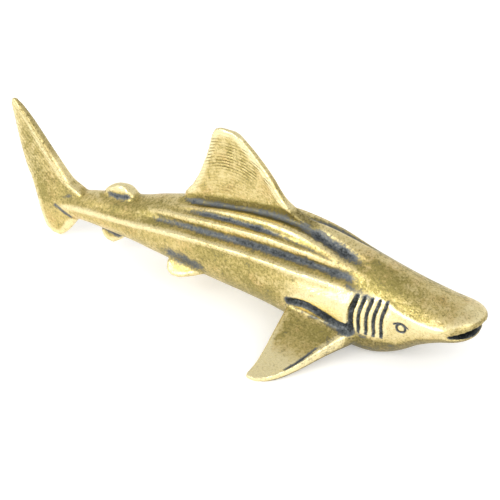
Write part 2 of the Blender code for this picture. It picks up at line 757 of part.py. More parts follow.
def aged_brass():
    material = bpy.data.materials.new("aged_brass")
    material.use_nodes = True
    shader = material.node_tree.nodes["Principled BSDF"]
    shader.inputs["Base Color"].default_value = (0.56, 0.45, 0.18, 1)
    shader.inputs["Metallic"].default_value = 1.0
    shader.inputs["Roughness"].default_value = 0.32
    return material


def clear_scene():
    for thing in list(bpy.data.objects):
        bpy.data.objects.remove(thing, do_unlink=True)


def main():
    clear_scene()
    figurine = new_collection("shark_figurine")
    fins = new_collection("fins_to_join")
    cuts = new_collection("cuts_in_skin")

    body = make_body(figurine)
    make_dorsal(fins)
    make_rear_dorsal(fins)
    make_anal_fin(fins)
    make_tail_fin(fins)
    make_pectoral(fins)
    make_pelvic(fins)

    make_gills(cuts)
    make_root_groove(cuts)
    make_fin_line(cuts)
    make_eye(cuts)
    make_brow(cuts)
    make_mouth(cuts)
    make_seat(cuts)

    for operand in list(fins.objects) + list(cuts.objects):
        operand.hide_render = True
        operand.display_type = "WIRE"

    add_boolean(body, "join_fins", "UNION", fins)
    add_boolean(body, "cut_skin", "DIFFERENCE", cuts)
    mirror_right_side(body)
    body.data.materials.append(aged_brass())
    body.data.shade_smooth()
    body.data.set_sharp_from_angle(angle=math.radians(50))


if __name__ == "__main__":
    main()
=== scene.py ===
"""Shark figurine: the looks of a small solid casting of aged brass.

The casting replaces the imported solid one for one. Its body and fins follow the
same sections and outlines as the solid, with far more points, and are merged
and smoothed as a casting is. Sizes are in metres, +X points to the snout, and
the shape is worked out for the right side (-Y) and mirrored to the left.
"""

import math
from collections import namedtuple

import bmesh
import bpy
import numpy as np
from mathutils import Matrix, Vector
from mathutils.bvhtree import BVHTree


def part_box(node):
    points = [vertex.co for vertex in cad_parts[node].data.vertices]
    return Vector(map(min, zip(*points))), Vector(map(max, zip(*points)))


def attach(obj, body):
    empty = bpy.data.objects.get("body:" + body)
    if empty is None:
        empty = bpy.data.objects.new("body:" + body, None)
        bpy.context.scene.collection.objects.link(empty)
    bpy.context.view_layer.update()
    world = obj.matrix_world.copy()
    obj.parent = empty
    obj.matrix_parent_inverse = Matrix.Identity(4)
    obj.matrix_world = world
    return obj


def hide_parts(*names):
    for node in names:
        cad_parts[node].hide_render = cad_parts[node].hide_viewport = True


bl_info = {
    "name": "Shark Figurine",
    "version": (1, 0, 0),
    "blender": (4, 5, 0),
    "location": "View3D > Sidebar > Figurine",
    "description": "A small shark figurine cast in aged brass, on a pale studio floor",
    "category": "Object",
}

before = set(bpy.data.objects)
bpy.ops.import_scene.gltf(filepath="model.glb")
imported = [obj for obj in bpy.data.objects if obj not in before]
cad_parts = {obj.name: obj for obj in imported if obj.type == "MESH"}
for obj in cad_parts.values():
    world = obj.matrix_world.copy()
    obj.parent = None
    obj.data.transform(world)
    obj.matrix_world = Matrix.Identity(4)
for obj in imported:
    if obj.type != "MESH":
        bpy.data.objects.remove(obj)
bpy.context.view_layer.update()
NODE_LOW, NODE_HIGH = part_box("shark")

MM = 0.001

# Sizes of the solid that the casting repeats
BODY_LENGTH = 74.5 * MM
BODY_WIDTH = 13.2 * MM
BODY_HEIGHT = 17.0 * MM
SNOUT_ROUND_PLAN = 4.6 * MM
SNOUT_ROUND_BROW = 2.8 * MM
SNOUT_ROUND_CHIN = 3.8 * MM
STALK_ROUND = 5.0 * MM
FOLD_DEPTH = 0.85 * MM
FOLD_BREADTH = 0.9 * MM

TAIL_CHORD = 8.4 * MM
TAIL_HEIGHT = 21.6 * MM
TAIL_SWEEP = 5.8 * MM
TAIL_THICKNESS = 1.9 * MM
TAIL_FLOOR = -0.1 * MM

PECTORAL_FROM_SNOUT = 17.5 * MM
PECTORAL_CHORD = 11.2 * MM
PECTORAL_SPAN = 18.3 * MM
PECTORAL_ROOT = 4.0 * MM
PECTORAL_THICKNESS = 2.3 * MM
PECTORAL_SLOPE = 0.5
PECTORAL_TIP_HEIGHT = 0.3 * MM
PECTORAL_ROOT_HEIGHT = 6.2 * MM

PELVIC_FROM_SNOUT = 43.0 * MM
PELVIC_BASE = 7.1 * MM
PELVIC_REACH = 2.1 * MM
PELVIC_ANGLE = 128
PELVIC_DROOP = 55
PELVIC_THICKNESS = 1.3 * MM

GILL_FROM_SNOUT = 17.75 * MM
GILL_LEAN = 0.5 * MM
GILL_BOW = 0.3 * MM
GILL_REAR_WIDTH = 0.95 * MM
GILL_DEPTH = 0.6 * MM
GILL_TOP = 10.4 * MM
GILL_BOTTOM = 4.9 * MM
PLATE_RISE = 0.35 * MM
PLATE_LENGTH = 12.0 * MM
PLATE_FADE = 14
PLATE_FOOT = 112
PLATE_FOOT_FADE = 12
ROOT_GROOVE_WIDTH = 1.15 * MM
ROOT_GROOVE_DEPTH = 0.7 * MM
ROOT_GROOVE_LIFT = 2.4 * MM

EYE_FROM_SNOUT = 10.6 * MM
EYE_HEIGHT = 7.4 * MM

MOUTH_HEIGHT = 1.5 * MM
MOUTH_CORNER = 3.8 * MM
MOUTH_DEPTH = 1.6 * MM
MOUTH_PINCH = 0.3
MOUTH_NARROWING = 0.7
MOUTH_CHIN = 1.1
MOUTH_OVERLAP = 1.04

# Sizes that differ a little from the solid's: the curve of the mouth and its lips,
# and the pectoral fin's bevel, which narrows towards the tip
MOUTH_LEVEL = 7.75 * MM
MOUTH_SMILE = 1.0 * MM
MOUTH_LIP = 1.2 * MM
MOUTH_JAW = 1.35 * MM
MOUTH_OVERHANG = 0.2
PECTORAL_ROOT_BEVEL = 2.9 * MM
PECTORAL_TIP_BEVEL = 0.15 * MM

# Lines and places that only the casting has
PUPIL_RADIUS = 0.35 * MM
PUPIL_RISE = 0.05 * MM
EYE_PATCH = 1.6 * MM
BROW_REACH = 1.05 * MM
BROW_RISE = 0.8 * MM
BROW_ARCH = 0.42 * MM
BROW_LEAN = 0.1 * MM
GILL_START_OUT = 9.0 * MM      # how far out the slits lie before they are laid on the skin
GILL_LAY_REACH = 20.0 * MM     # and how far in the skin is looked for

# A fold or a cut keeps its full size but near its ends: how fast it swells there,
# and for a cut the share of its size at the very end
FOLD_SWELL = 2.2
CUT_SWELL, CUT_END = 2.2, 0.35
SLIT_SWELL, SLIT_END = 2.4, 0.3

# How finely the casting is laid out
BODY_RING_POINTS = 91
BLADE_STEPS = 26
TAIL_RINGS, PECTORAL_RINGS, PELVIC_RINGS = 60, 48, 18
MOUTH_STEPS = 40
GROOVE_STEPS, SLIT_STEPS, BROW_STEPS = 25, 17, 9
LINE_STEPS = 60

# How its surface is evened out: rounds, and how far each goes forward and back
EVEN_ROUNDS, EVEN_OUT, EVEN_BACK = 3, 0.5, -0.52
CREASE_ROUNDS = 12             # smoothing that shows where creases are
DEPTH_ROUNDS = 40              # smoothing that shows what lies deep or high

# Sections of the body: place, width and heights of crest, widest line and belly
# as shares of the body's, and how square the upper and lower halves are
Section = namedtuple("Section", "along width crest waist belly upper lower")

BODY_SECTIONS = (
    Section(0.000, 0.65, 0.63, 0.547, 0.353, 1.7, 2.2),
    Section(0.058, 0.70, 0.66, 0.512, 0.312, 1.6, 2.2),
    Section(0.118, 0.76, 0.718, 0.482, 0.194, 1.6, 2.2),
    Section(0.168, 0.80, 0.776, 0.459, 0.053, 1.6, 2.4),
    Section(0.215, 0.865, 0.835, 0.447, -0.009, 1.55, 2.7),
    Section(0.268, 0.94, 0.90, 0.465, -0.009, 1.55, 2.5),
    Section(0.357, 1.00, 0.982, 0.506, 0.03, 1.65, 2.2),
    Section(0.456, 0.97, 1.00, 0.53, 0.112, 1.75, 2.1),
    Section(0.604, 0.85, 0.894, 0.523, 0.176, 1.8, 2.1),
    Section(0.722, 0.65, 0.747, 0.482, 0.218, 1.8, 2.1),
    Section(0.775, 0.545, 0.665, 0.453, 0.241, 1.8, 2.1),
    Section(0.890, 0.345, 0.553, 0.394, 0.247, 1.9, 2.0),
    Section(0.945, 0.20, 0.475, 0.335, 0.218, 2.0, 2.0),
    Section(1.000, 0.06, 0.388, 0.27, 0.182, 2.0, 2.0),
)

# Angles round the section, in degrees from the crest, at which the folds run
FOLD_LINES = {
    "along": (0.0, 0.05, 0.10, 0.15, 0.20, 0.25, 0.32, 0.40, 0.50, 0.60, 0.70, 0.80, 0.90, 1.0),
    "upper_groove": (22, 22, 24, 26, 28, 27, 22, 15, 12, 12, 15, 20, 22, 24),
    "upper_ridge": (30, 30, 32, 34, 34, 34, 31, 28, 26, 24, 24, 28, 30, 34),
    "middle_groove": (38, 38, 40, 40, 39, 40, 39, 38, 36, 33, 32, 35, 38, 44),
    "middle_ridge": (46, 46, 47, 46, 43, 43, 44, 44, 45, 45, 43, 42, 48, 54),
    "lower_groove": (58, 58, 57, 53, 47, 47, 50, 54, 56, 56, 52, 50, 60, 66),
    "lateral_ridge": (92, 90, 78, 66, 56, 59, 63, 67, 69, 70, 72, 75, 78, 82),
}

# Folds: height and breadth as shares, and the shares of the body they span
Fold = namedtuple("Fold", "line height breadth first last")

FOLDS = (
    Fold("upper_groove", -0.95, 1.00, 0.23, 0.68),
    Fold("upper_ridge", 0.26, 0.67, 0.26, 0.62),
    Fold("middle_groove", -0.60, 0.60, 0.36, 0.68),
    Fold("middle_ridge", 0.30, 0.60, 0.26, 0.74),
    Fold("lower_groove", -1.00, 0.90, 0.23, 0.76),
    Fold("lateral_ridge", 0.50, 0.60, 0.23, 0.98),
    Fold("lateral_ridge", 0.20, 0.55, 0.03, 0.20),
)

# Outlines of the fins: share of the height, leading and trailing edges as
# shares of the base, and share of the thickness
Row = namedtuple("Row", "up lead trail thick")

DORSAL_OUTLINE = (
    Row(-0.30, -0.16, 1.03, 1.7),
    Row(-0.12, -0.15, 1.005, 1.45),
    Row(0.00, -0.08, 0.955, 1.30),
    Row(0.035, -0.01, 0.945, 1.22),
    Row(0.08, 0.06, 0.930, 1.16),
    Row(0.19, 0.163, 0.897, 1.10),
    Row(0.32, 0.225, 0.870, 1.02),
    Row(0.45, 0.275, 0.843, 0.98),
    Row(0.58, 0.335, 0.820, 0.94),
    Row(0.70, 0.398, 0.803, 0.90),
    Row(0.80, 0.455, 0.790, 0.86),
    Row(0.88, 0.505, 0.775, 0.80),
    Row(0.95, 0.552, 0.752, 0.70),
    Row(0.985, 0.60, 0.715, 0.50),
)
REAR_DORSAL_OUTLINE = (
    Row(-1.00, 0.00, 1.05, 1.3),
    Row(0.00, 0.04, 0.96, 1.1),
    Row(0.45, 0.12, 0.84, 0.95),
    Row(0.80, 0.24, 0.68, 0.75),
    Row(0.97, 0.36, 0.54, 0.45),
)
ANAL_OUTLINE = (
    Row(-0.80, 0.00, 0.96, 1.3),
    Row(0.00, 0.06, 0.98, 1.1),
    Row(0.40, 0.22, 0.98, 0.95),
    Row(0.75, 0.42, 0.92, 0.75),
    Row(0.96, 0.58, 0.80, 0.45),
)
TAIL_OUTLINE = (
    Row(0.000, 0.30, 0.46, 0.45),
    Row(0.035, 0.17, 0.59, 0.70),
    Row(0.090, 0.05, 0.66, 0.85),
    Row(0.180, -0.10, 0.74, 1.00),
    Row(0.300, -0.20, 0.82, 1.15),
    Row(0.390, -0.32, 0.89, 1.20),
    Row(0.425, -0.20, 0.92, 1.18),
    Row(0.455, -0.03, 0.96, 1.14),
    Row(0.500, 0.09, 1.00, 1.10),
    Row(0.610, 0.32, 1.08, 1.00),
    Row(0.730, 0.57, 1.15, 0.90),
    Row(0.860, 0.84, 1.22, 0.75),
    Row(0.950, 1.06, 1.27, 0.55),
    Row(0.990, 1.18, 1.25, 0.35),
)
PELVIC_OUTLINE = (
    Row(-0.50, 0.00, 0.95, 1.2),
    Row(0.00, 0.04, 1.00, 1.0),
    Row(0.45, 0.26, 0.99, 0.85),
    Row(0.80, 0.50, 0.92, 0.65),
    Row(0.97, 0.64, 0.82, 0.40),
)

# Upright fins on the body: outline, then distance behind the snout, base, height,
# thickness and rim in millimetres, count of rings, and angle of the line they grow from
BodyFin = namedtuple("BodyFin", "name outline front base height thickness rim rings angle")

BODY_FINS = (
    BodyFin("dorsal_fin", DORSAL_OUTLINE, 28.9, 20.6, 11.4, 1.5, 1.5, 44, 0),
    BodyFin("rear_dorsal_fin", REAR_DORSAL_OUTLINE, 57.6, 6.4, 2.0, 2.3, 6.4, 16, 0),
    BodyFin("anal_fin", ANAL_OUTLINE, 59.4, 5.4, -2.6, 1.1, 5.4, 16, 180),
)

# Pectoral fin: distance out from root to tip, edges along the chord, heights
# of both edges between the tip's and the root's, and thickness, all as shares
Span = namedtuple("Span", "out lead trail lead_rise trail_rise thick")

PECTORAL_SPANS = (
    Span(0.00, -0.08, 0.98, 0.52, 1.00, 1.55),
    Span(0.14, 0.05, 1.00, 0.42, 0.86, 1.38),
    Span(0.28, 0.18, 1.00, 0.32, 0.68, 1.18),
    Span(0.43, 0.30, 0.99, 0.22, 0.52, 1.00),
    Span(0.65, 0.44, 0.965, 0.12, 0.31, 0.80),
    Span(0.84, 0.59, 0.96, 0.05, 0.14, 0.64),
    Span(0.94, 0.72, 0.98, 0.02, 0.06, 0.50),
    Span(0.985, 0.83, 0.97, 0.01, 0.02, 0.38),
)

# Half thickness of a blade from its leading edge across the rim, then from the
# rim to its trailing edge
RIM_ARC = ((0.0, 0.0), (0.06, 0.50), (0.22, 0.86), (0.55, 1.0), (1.0, 0.84))
BLADE_TAPER = ((0.30, 0.78), (0.60, 0.66), (0.85, 0.50), (0.97, 0.34), (1.0, 0.0))
LONGEST_RIM = 0.34             # share of the chord that a rim may take

ROOT_GROOVE_RISE = ((0.0, 0.15), (0.2, 0.35), (0.42, 0.75), (0.65, 1.0), (0.9, 0.8))
FIN_LINE = ((0.39, 0.15), (0.48, 0.135), (0.57, 0.12), (0.66, 0.11), (0.75, 0.11))
CUT_SECTION = ((-1.0, -0.8), (1.0, -0.8), (0.9, 0.0), (0.4, 1.0), (-0.4, 1.0), (-0.9, 0.0))


# Shape of the plain body

def total_length():
    return BODY_LENGTH + TAIL_SWEEP


def place(from_snout, side, height):
    return Vector((total_length() / 2 - from_snout, side, height))


def smooth_between(rows, at):
    """Value at a place on a smooth curve through (place, value) rows."""
    places = [row[0] for row in rows]
    values = [row[1] for row in rows]
    if at <= places[0]:
        return values[0]
    if at >= places[-1]:
        return values[-1]
    i = max(k for k in range(len(places) - 1) if places[k] <= at)

    def slope(k):
        low, high = max(k - 1, 0), min(k + 1, len(places) - 1)
        return (values[high] - values[low]) / (places[high] - places[low])

    span = places[i + 1] - places[i]
    u = (at - places[i]) / span
    return (
        (2 * u**3 - 3 * u**2 + 1) * values[i]
        + (u**3 - 2 * u**2 + u) * span * slope(i)
        + (3 * u**2 - 2 * u**3) * values[i + 1]
        + (u**3 - u**2) * span * slope(i + 1)
    )


def rounding(distance, length):
    """Quarter circle that grows from 0 to 1 over a length, and stays 1 after it."""
    u = min(max(distance / length, 0.0), 1.0)
    return math.sqrt(1 - (1 - u) ** 2)


def row_between(rows, at):
    """Row at a place on smooth curves through all the columns of a table."""
    places = [row[0] for row in rows]
    values = [smooth_between(list(zip(places, column)), at) for column in list(zip(*rows))[1:]]
    return type(rows[0])(at, *values)


def finer(rows, count):
    """Rows of an outline at even steps on smooth curves through its own rows."""
    return [row_between(rows, at) for at in np.linspace(rows[0][0], rows[-1][0], count)]


def section_at(from_snout):
    plain = row_between(BODY_SECTIONS, from_snout / BODY_LENGTH)
    stalk = rounding(BODY_LENGTH - from_snout, STALK_ROUND)
    narrow = rounding(from_snout, SNOUT_ROUND_PLAN) * stalk
    brow = rounding(from_snout, SNOUT_ROUND_BROW) * stalk
    chin = rounding(from_snout, SNOUT_ROUND_CHIN) * stalk
    return plain._replace(
        width=plain.width * narrow * BODY_WIDTH,
        crest=(plain.waist + (plain.crest - plain.waist) * brow) * BODY_HEIGHT,
        waist=plain.waist * BODY_HEIGHT,
        belly=(plain.waist - (plain.waist - plain.belly) * chin) * BODY_HEIGHT,
    )


def fold_angle(line, along):
    return smooth_between(list(zip(FOLD_LINES["along"], FOLD_LINES[line])), along)


def plain_ring(section, angles):
    """Sides and heights of the plain section at angles in degrees from the crest."""
    turns = np.radians(angles)
    upper = angles < 90
    power = np.where(upper, section.upper, section.lower)
    rise = np.where(upper, section.crest - section.waist, section.waist - section.belly)
    side = section.width / 2 * np.abs(np.sin(turns)) ** (2 / power)
    height = rise * np.sign(np.cos(turns)) * np.abs(np.cos(turns)) ** (2 / power)
    return np.stack([side, section.waist + height], axis=1)


def plate_front():
    return GILL_FROM_SNOUT + (GILL_LEAN + GILL_BOW) / 2


def plate_heights(section, angles):
    """Height of the plate behind the gill slits, with a soft front edge."""
    behind = section.along * BODY_LENGTH - plate_front()
    if behind < 0 or behind > PLATE_LENGTH:
        return np.zeros(len(angles))
    ridge = fold_angle("lateral_ridge", section.along)
    fade = math.cos(math.pi / 2 * behind / PLATE_LENGTH)
    rise = np.clip((angles - ridge) / PLATE_FADE, 0, 1)
    fall = np.clip((PLATE_FOOT - angles) / PLATE_FOOT_FADE, 0, 1)
    return PLATE_RISE * fade * rise * fall


def fold_heights(section, angles):
    """Heights of the folds and of the flank plate round a section."""
    here = plain_ring(section, angles)
    total = plate_heights(section, angles)
    for fold in FOLDS:
        if fold.first < section.along < fold.last:
            share = (section.along - fold.first) / (fold.last - fold.first)
            fade = min(1.0, FOLD_SWELL * math.sin(math.pi * share))
            line = plain_ring(section, np.array([fold_angle(fold.line, section.along)]))[0]
            off = np.hypot(*(here - line).T) / (fold.breadth * FOLD_BREADTH)
            total = total + fold.height * FOLD_DEPTH * fade * np.exp(-off * off)
    return total


def skin_ring(from_snout, angles):
    """Points on the body's right side at angles in degrees, folds included."""
    section = section_at(from_snout)
    angles = np.asarray(angles, dtype=float)
    points = plain_ring(section, angles)
    ahead = plain_ring(section, np.minimum(angles + 1, 180))
    behind = plain_ring(section, np.maximum(angles - 1, 0))
    outward = np.stack([behind[:, 1] - ahead[:, 1], ahead[:, 0] - behind[:, 0]], axis=1)
    length = np.linalg.norm(outward, axis=1, keepdims=True)
    outward = np.divide(outward, length, out=np.zeros_like(outward), where=length > 0)
    inside = ((angles > 0) & (angles < 180)).astype(float)
    points = points + outward * (fold_heights(section, angles) * inside)[:, None]
    across = np.full(len(angles), total_length() / 2 - from_snout)
    return np.stack([across, -points[:, 0], points[:, 1]], axis=1)


def skin_point(from_snout, angle):
    return Vector(skin_ring(from_snout, [angle])[0])


def skin_normal(from_snout, angle):
    """Outward direction of the body's right side."""
    step = 0.2 * MM
    along = skin_point(from_snout + step, angle) - skin_point(from_snout - step, angle)
    round_it = skin_point(from_snout, angle + 1) - skin_point(from_snout, angle - 1)
    return along.cross(round_it).normalized()


def angle_at_height(from_snout, height):
    low, high = 20.0, 160.0
    for _ in range(24):
        middle = (low + high) / 2
        if skin_point(from_snout, middle).z > height:
            low = middle
        else:
            high = middle
    return (low + high) / 2


def eye_centre():
    return skin_point(EYE_FROM_SNOUT, angle_at_height(EYE_FROM_SNOUT, EYE_HEIGHT))


# Meshes

def new_object(name, mesh_data):
    mesh = bpy.data.meshes.new(name)
    mesh_data.to_mesh(mesh)
    mesh_data.free()
    thing = bpy.data.objects.new(name, mesh)
    bpy.context.scene.collection.objects.link(thing)
    return thing


def loft(name, rings):
    """Closed skin through rings of points, which all have the same count."""
    skin = bmesh.new()
    rows = [[skin.verts.new(point) for point in ring] for ring in rings]
    for near, far in zip(rows, rows[1:]):
        count = max(len(near), len(far))
        for k in range(count):
            corners = [near[k % len(near)], near[(k + 1) % len(near)]]
            corners += [far[(k + 1) % len(far)], far[k % len(far)]]
            skin.faces.new(list(dict.fromkeys(corners)))
    for row in (rows[0], rows[-1]):
        if len(row) > 1:
            skin.faces.new(row)
    bmesh.ops.triangulate(skin, faces=[f for f in skin.faces if len(f.verts) > 4])
    bmesh.ops.recalc_face_normals(skin, faces=skin.faces[:])
    return new_object(name, skin)


def make_body(ring_step, ring_points):
    """Body from snout to tail stalk, with its folds and flank plates."""
    angles = 180 * np.linspace(0, 1, ring_points)
    snout = [SNOUT_ROUND_PLAN * (1 - math.cos(math.radians(a))) for a in range(5, 91, 5)]
    stalk = [BODY_LENGTH - STALK_ROUND * (1 - math.cos(math.radians(a)))
             for a in range(80, 9, -10)]
    edge = plate_front()
    first = np.linspace(snout[-1], edge - 0.05 * MM, int((edge - snout[-1]) / ring_step))[1:]
    last_place = BODY_LENGTH - STALK_ROUND
    second = np.linspace(edge, last_place, int((last_place - edge) / ring_step))
    rings = [[skin_point(0, 90)]]
    for from_snout in snout + list(first) + list(second) + stalk:
        right = skin_ring(from_snout, angles)
        right[0, 1] = 0
        right[-1, 1] = 0
        left = right[-2:0:-1] * (1, -1, 1)
        rings.append([Vector(p) for p in np.concatenate([right, left])])
    rings.append([skin_point(BODY_LENGTH, 90)])
    return loft("body", rings)


def blade_profile(length, rim):
    """Half section of a blade: shares of its chord and of its half thickness."""
    rim_share = min(rim / length, LONGEST_RIM)
    rows = [(share * rim_share, thick) for share, thick in RIM_ARC]
    return rows + [(rim_share + (1 - rim_share) * share, thick) for share, thick in BLADE_TAPER]


def blade_shares(length, rim):
    """Fine steps over a blade's half section, from its leading edge back."""
    rows = blade_profile(length, rim)
    turns = np.linspace(0, math.pi, BLADE_STEPS)
    shares = (1 - np.cos(turns)) / 2
    return [(share, max(0.0, smooth_between(rows, share))) for share in shares]


def blade_section(lead, trail, out, half_thickness, rim):
    chord = trail - lead
    half = blade_shares(chord.length, rim)
    right = [lead + chord * share + out * half_thickness * thick for share, thick in half]
    left = [lead + chord * share - out * half_thickness * thick for share, thick in half[1:-1]]
    return right + list(reversed(left))


def upright_fin(name, outline, front, base, foot, height, thickness, rim, count):
    rings = []
    for row in finer(outline, count):
        level = foot + row.up * height
        lead = place(front + row.lead * base, 0, level)
        trail = place(front + row.trail * base, 0, level)
        rings.append(blade_section(lead, trail, Vector((0, -1, 0)),
                                   thickness / 2 * row.thick, rim))
    return loft(name, rings)


def make_upright_fins():
    fins = []
    for fin in BODY_FINS:
        front, base, height, thickness, rim = (size * MM for size in fin[2:7])
        foot = skin_point(front + base / 2, fin.angle).z
        fins.append(upright_fin(fin.name, fin.outline, front, base, foot, height, thickness,
                                rim, fin.rings))
    tail_front = total_length() - max(row.trail for row in TAIL_OUTLINE) * TAIL_CHORD
    fins.append(upright_fin("tail_fin", TAIL_OUTLINE, tail_front, TAIL_CHORD, TAIL_FLOOR,
                            TAIL_HEIGHT - TAIL_FLOOR, TAIL_THICKNESS, TAIL_THICKNESS, TAIL_RINGS))
    return fins


def mirrored(thing):
    """Copy of a right-hand piece on the left side."""
    skin = bmesh.new()
    skin.from_mesh(thing.data)
    for vert in skin.verts:
        vert.co.y = -vert.co.y
    bmesh.ops.reverse_faces(skin, faces=skin.faces[:])
    return new_object(thing.name + "_left", skin)


def pectoral_blade(span):
    """Both edges of the right pectoral fin, its upward side and its half thickness."""
    side = -(PECTORAL_ROOT + span.out * (PECTORAL_SPAN - PECTORAL_ROOT))
    rise = PECTORAL_ROOT_HEIGHT - PECTORAL_TIP_HEIGHT
    lead = place(PECTORAL_FROM_SNOUT + span.lead * PECTORAL_CHORD, side,
                 PECTORAL_TIP_HEIGHT + span.lead_rise * rise)
    trail = place(PECTORAL_FROM_SNOUT + span.trail * PECTORAL_CHORD, side,
                  PECTORAL_TIP_HEIGHT + span.trail_rise * rise)
    up = Vector((0, 1, PECTORAL_SLOPE)).cross(trail - lead).normalized()
    return lead, trail, up, PECTORAL_THICKNESS / 2 * span.thick


def pectoral_bevel(out):
    return PECTORAL_ROOT_BEVEL + (PECTORAL_TIP_BEVEL - PECTORAL_ROOT_BEVEL) * out


def make_pectoral():
    rings = [blade_section(*pectoral_blade(span), pectoral_bevel(span.out))
             for span in finer(PECTORAL_SPANS, PECTORAL_RINGS)]
    return loft("pectoral_fin", rings)


def fin_line_path():
    """Points of the line engraved on top of the right pectoral fin."""
    path = []
    for out, share in FIN_LINE:
        lead, trail, up, half = pectoral_blade(row_between(PECTORAL_SPANS, out))
        chord = trail - lead
        thick = smooth_between(blade_profile(chord.length, pectoral_bevel(out)), share)
        path.append(lead + chord * share + up * half * thick)
    return np.array(path)


def make_pelvic():
    rings = []
    droop = math.radians(PELVIC_DROOP)
    outward = Vector((0, -math.cos(droop), -math.sin(droop)))
    root = skin_point(PELVIC_FROM_SNOUT + PELVIC_BASE / 2, PELVIC_ANGLE)
    for row in finer(PELVIC_OUTLINE, PELVIC_RINGS):
        foot = Vector((0, root.y, root.z)) + outward * row.up * PELVIC_REACH
        lead = place(PELVIC_FROM_SNOUT + row.lead * PELVIC_BASE, foot.y, foot.z)
        trail = place(PELVIC_FROM_SNOUT + row.trail * PELVIC_BASE, foot.y, foot.z)
        up = (trail - lead).cross(outward).normalized()
        rings.append(blade_section(lead, trail, up, PELVIC_THICKNESS / 2 * row.thick, PELVIC_BASE))
    return loft("pelvic_fin", rings)


def skin_cut(name, path, breadth, depth):
    """Cutter that follows a path of (distance behind snout, angle) on the right flank."""
    rings = []
    last = len(path) - 1
    for k, (from_snout, angle) in enumerate(path):
        here = skin_point(from_snout, angle)
        ahead = skin_point(*path[min(k + 1, last)])
        behind = skin_point(*path[max(k - 1, 0)])
        normal = skin_normal(from_snout, angle)
        across = (ahead - behind).cross(normal).normalized()
        full = min(1.0, CUT_END + CUT_SWELL * math.sin(math.pi * k / last))
        rings.append([here + across * (breadth / 2 * full * b) - normal * (depth * full * d)
                      for b, d in CUT_SECTION])
    return loft(name, rings)


def flank_path(places):
    """Path of (distance behind snout, angle) through places given by distance and height."""
    return [(from_snout, angle_at_height(from_snout, height)) for from_snout, height in places]


def root_groove_path(drop=0.0):
    """Path of the groove over the pectoral fin, or of a line that lies lower at its front."""
    front = GILL_FROM_SNOUT + GILL_LEAN
    return flank_path([
        (front + share * PECTORAL_CHORD,
         GILL_BOTTOM + smooth_between(ROOT_GROOVE_RISE, share) * ROOT_GROOVE_LIFT
         - drop * (1 - share))
        for share in np.linspace(ROOT_GROOVE_RISE[0][0], ROOT_GROOVE_RISE[-1][0], GROOVE_STEPS)])


def gill_path(slit, pitch):
    top = GILL_FROM_SNOUT - slit * pitch
    return flank_path([
        (top + GILL_LEAN * share + GILL_BOW * math.sin(math.pi * share),
         GILL_TOP + (GILL_BOTTOM - GILL_TOP) * share)
        for share in np.linspace(0, 1, SLIT_STEPS)])


def brow_path():
    return flank_path([
        (EYE_FROM_SNOUT - share * BROW_REACH,
         EYE_HEIGHT + BROW_RISE - BROW_ARCH * share**2 - BROW_LEAN * share)
        for share in np.linspace(-1, 1, BROW_STEPS)])


def mouth_rings(steps):
    """Sections of the mouth slot from its right to its left corner."""
    half = section_at(MOUTH_CORNER).width / 2
    front = -MOUTH_LIP
    rings = []
    for k in range(steps + 1):
        across = 2 * k / steps - 1
        middle = math.sqrt(1 - across * across)
        side = half * MOUTH_OVERLAP * across
        lip = MOUTH_CORNER + (MOUTH_LIP - MOUTH_CORNER) * middle
        jaw = MOUTH_CORNER + (MOUTH_JAW - MOUTH_CORNER) * middle
        back = jaw + MOUTH_DEPTH * (MOUTH_PINCH + (1 - MOUTH_PINCH) * middle)
        high = MOUTH_HEIGHT / 2 * (MOUTH_PINCH + (1 - MOUTH_PINCH) * middle)
        level = MOUTH_LEVEL + MOUTH_SMILE * (middle - 0.5)
        rings.append([place(front, side, level + high + (lip - front) * MOUTH_OVERHANG),
                      place(lip, side, level + high),
                      place(back, side, level + high * MOUTH_NARROWING),
                      place(back, side, level - high * MOUTH_NARROWING),
                      place(jaw, side, level - high),
                      place(front, side, level - high - (jaw - front) * MOUTH_CHIN)])
    return rings


# Node trees

class Sock:
    """Output socket that takes part in sums, which become Math nodes."""

    def __init__(self, tree, socket):
        self.tree = tree
        self.socket = socket

    def sine(self):
        return self.tree.math("SINE", self)

    def clamped(self):
        return self.tree.math("MINIMUM", self.tree.math("MAXIMUM", self, 0.0), 1.0)

    def step(self, low, high):
        """Smooth rise from 0 at low to 1 at high."""
        return self.tree.node("ShaderNodeMapRange", {"interpolation_type": "SMOOTHSTEP"},
                              _0=self, _1=low, _2=high, _3=0.0, _4=1.0)


def give_sums(name, operation):
    """Let sockets stand on either side of a sign, which becomes a Math node."""
    def signed(self, other):
        return self.tree.math(operation, self, other)

    def swapped(self, other):
        return self.tree.math(operation, other, self)

    setattr(Sock, f"__{name}__", signed)
    setattr(Sock, f"__r{name}__", swapped)


for sign in (("add", "ADD"), ("sub", "SUBTRACT"), ("mul", "MULTIPLY"), ("truediv", "DIVIDE"),
             ("pow", "POWER")):
    give_sums(*sign)


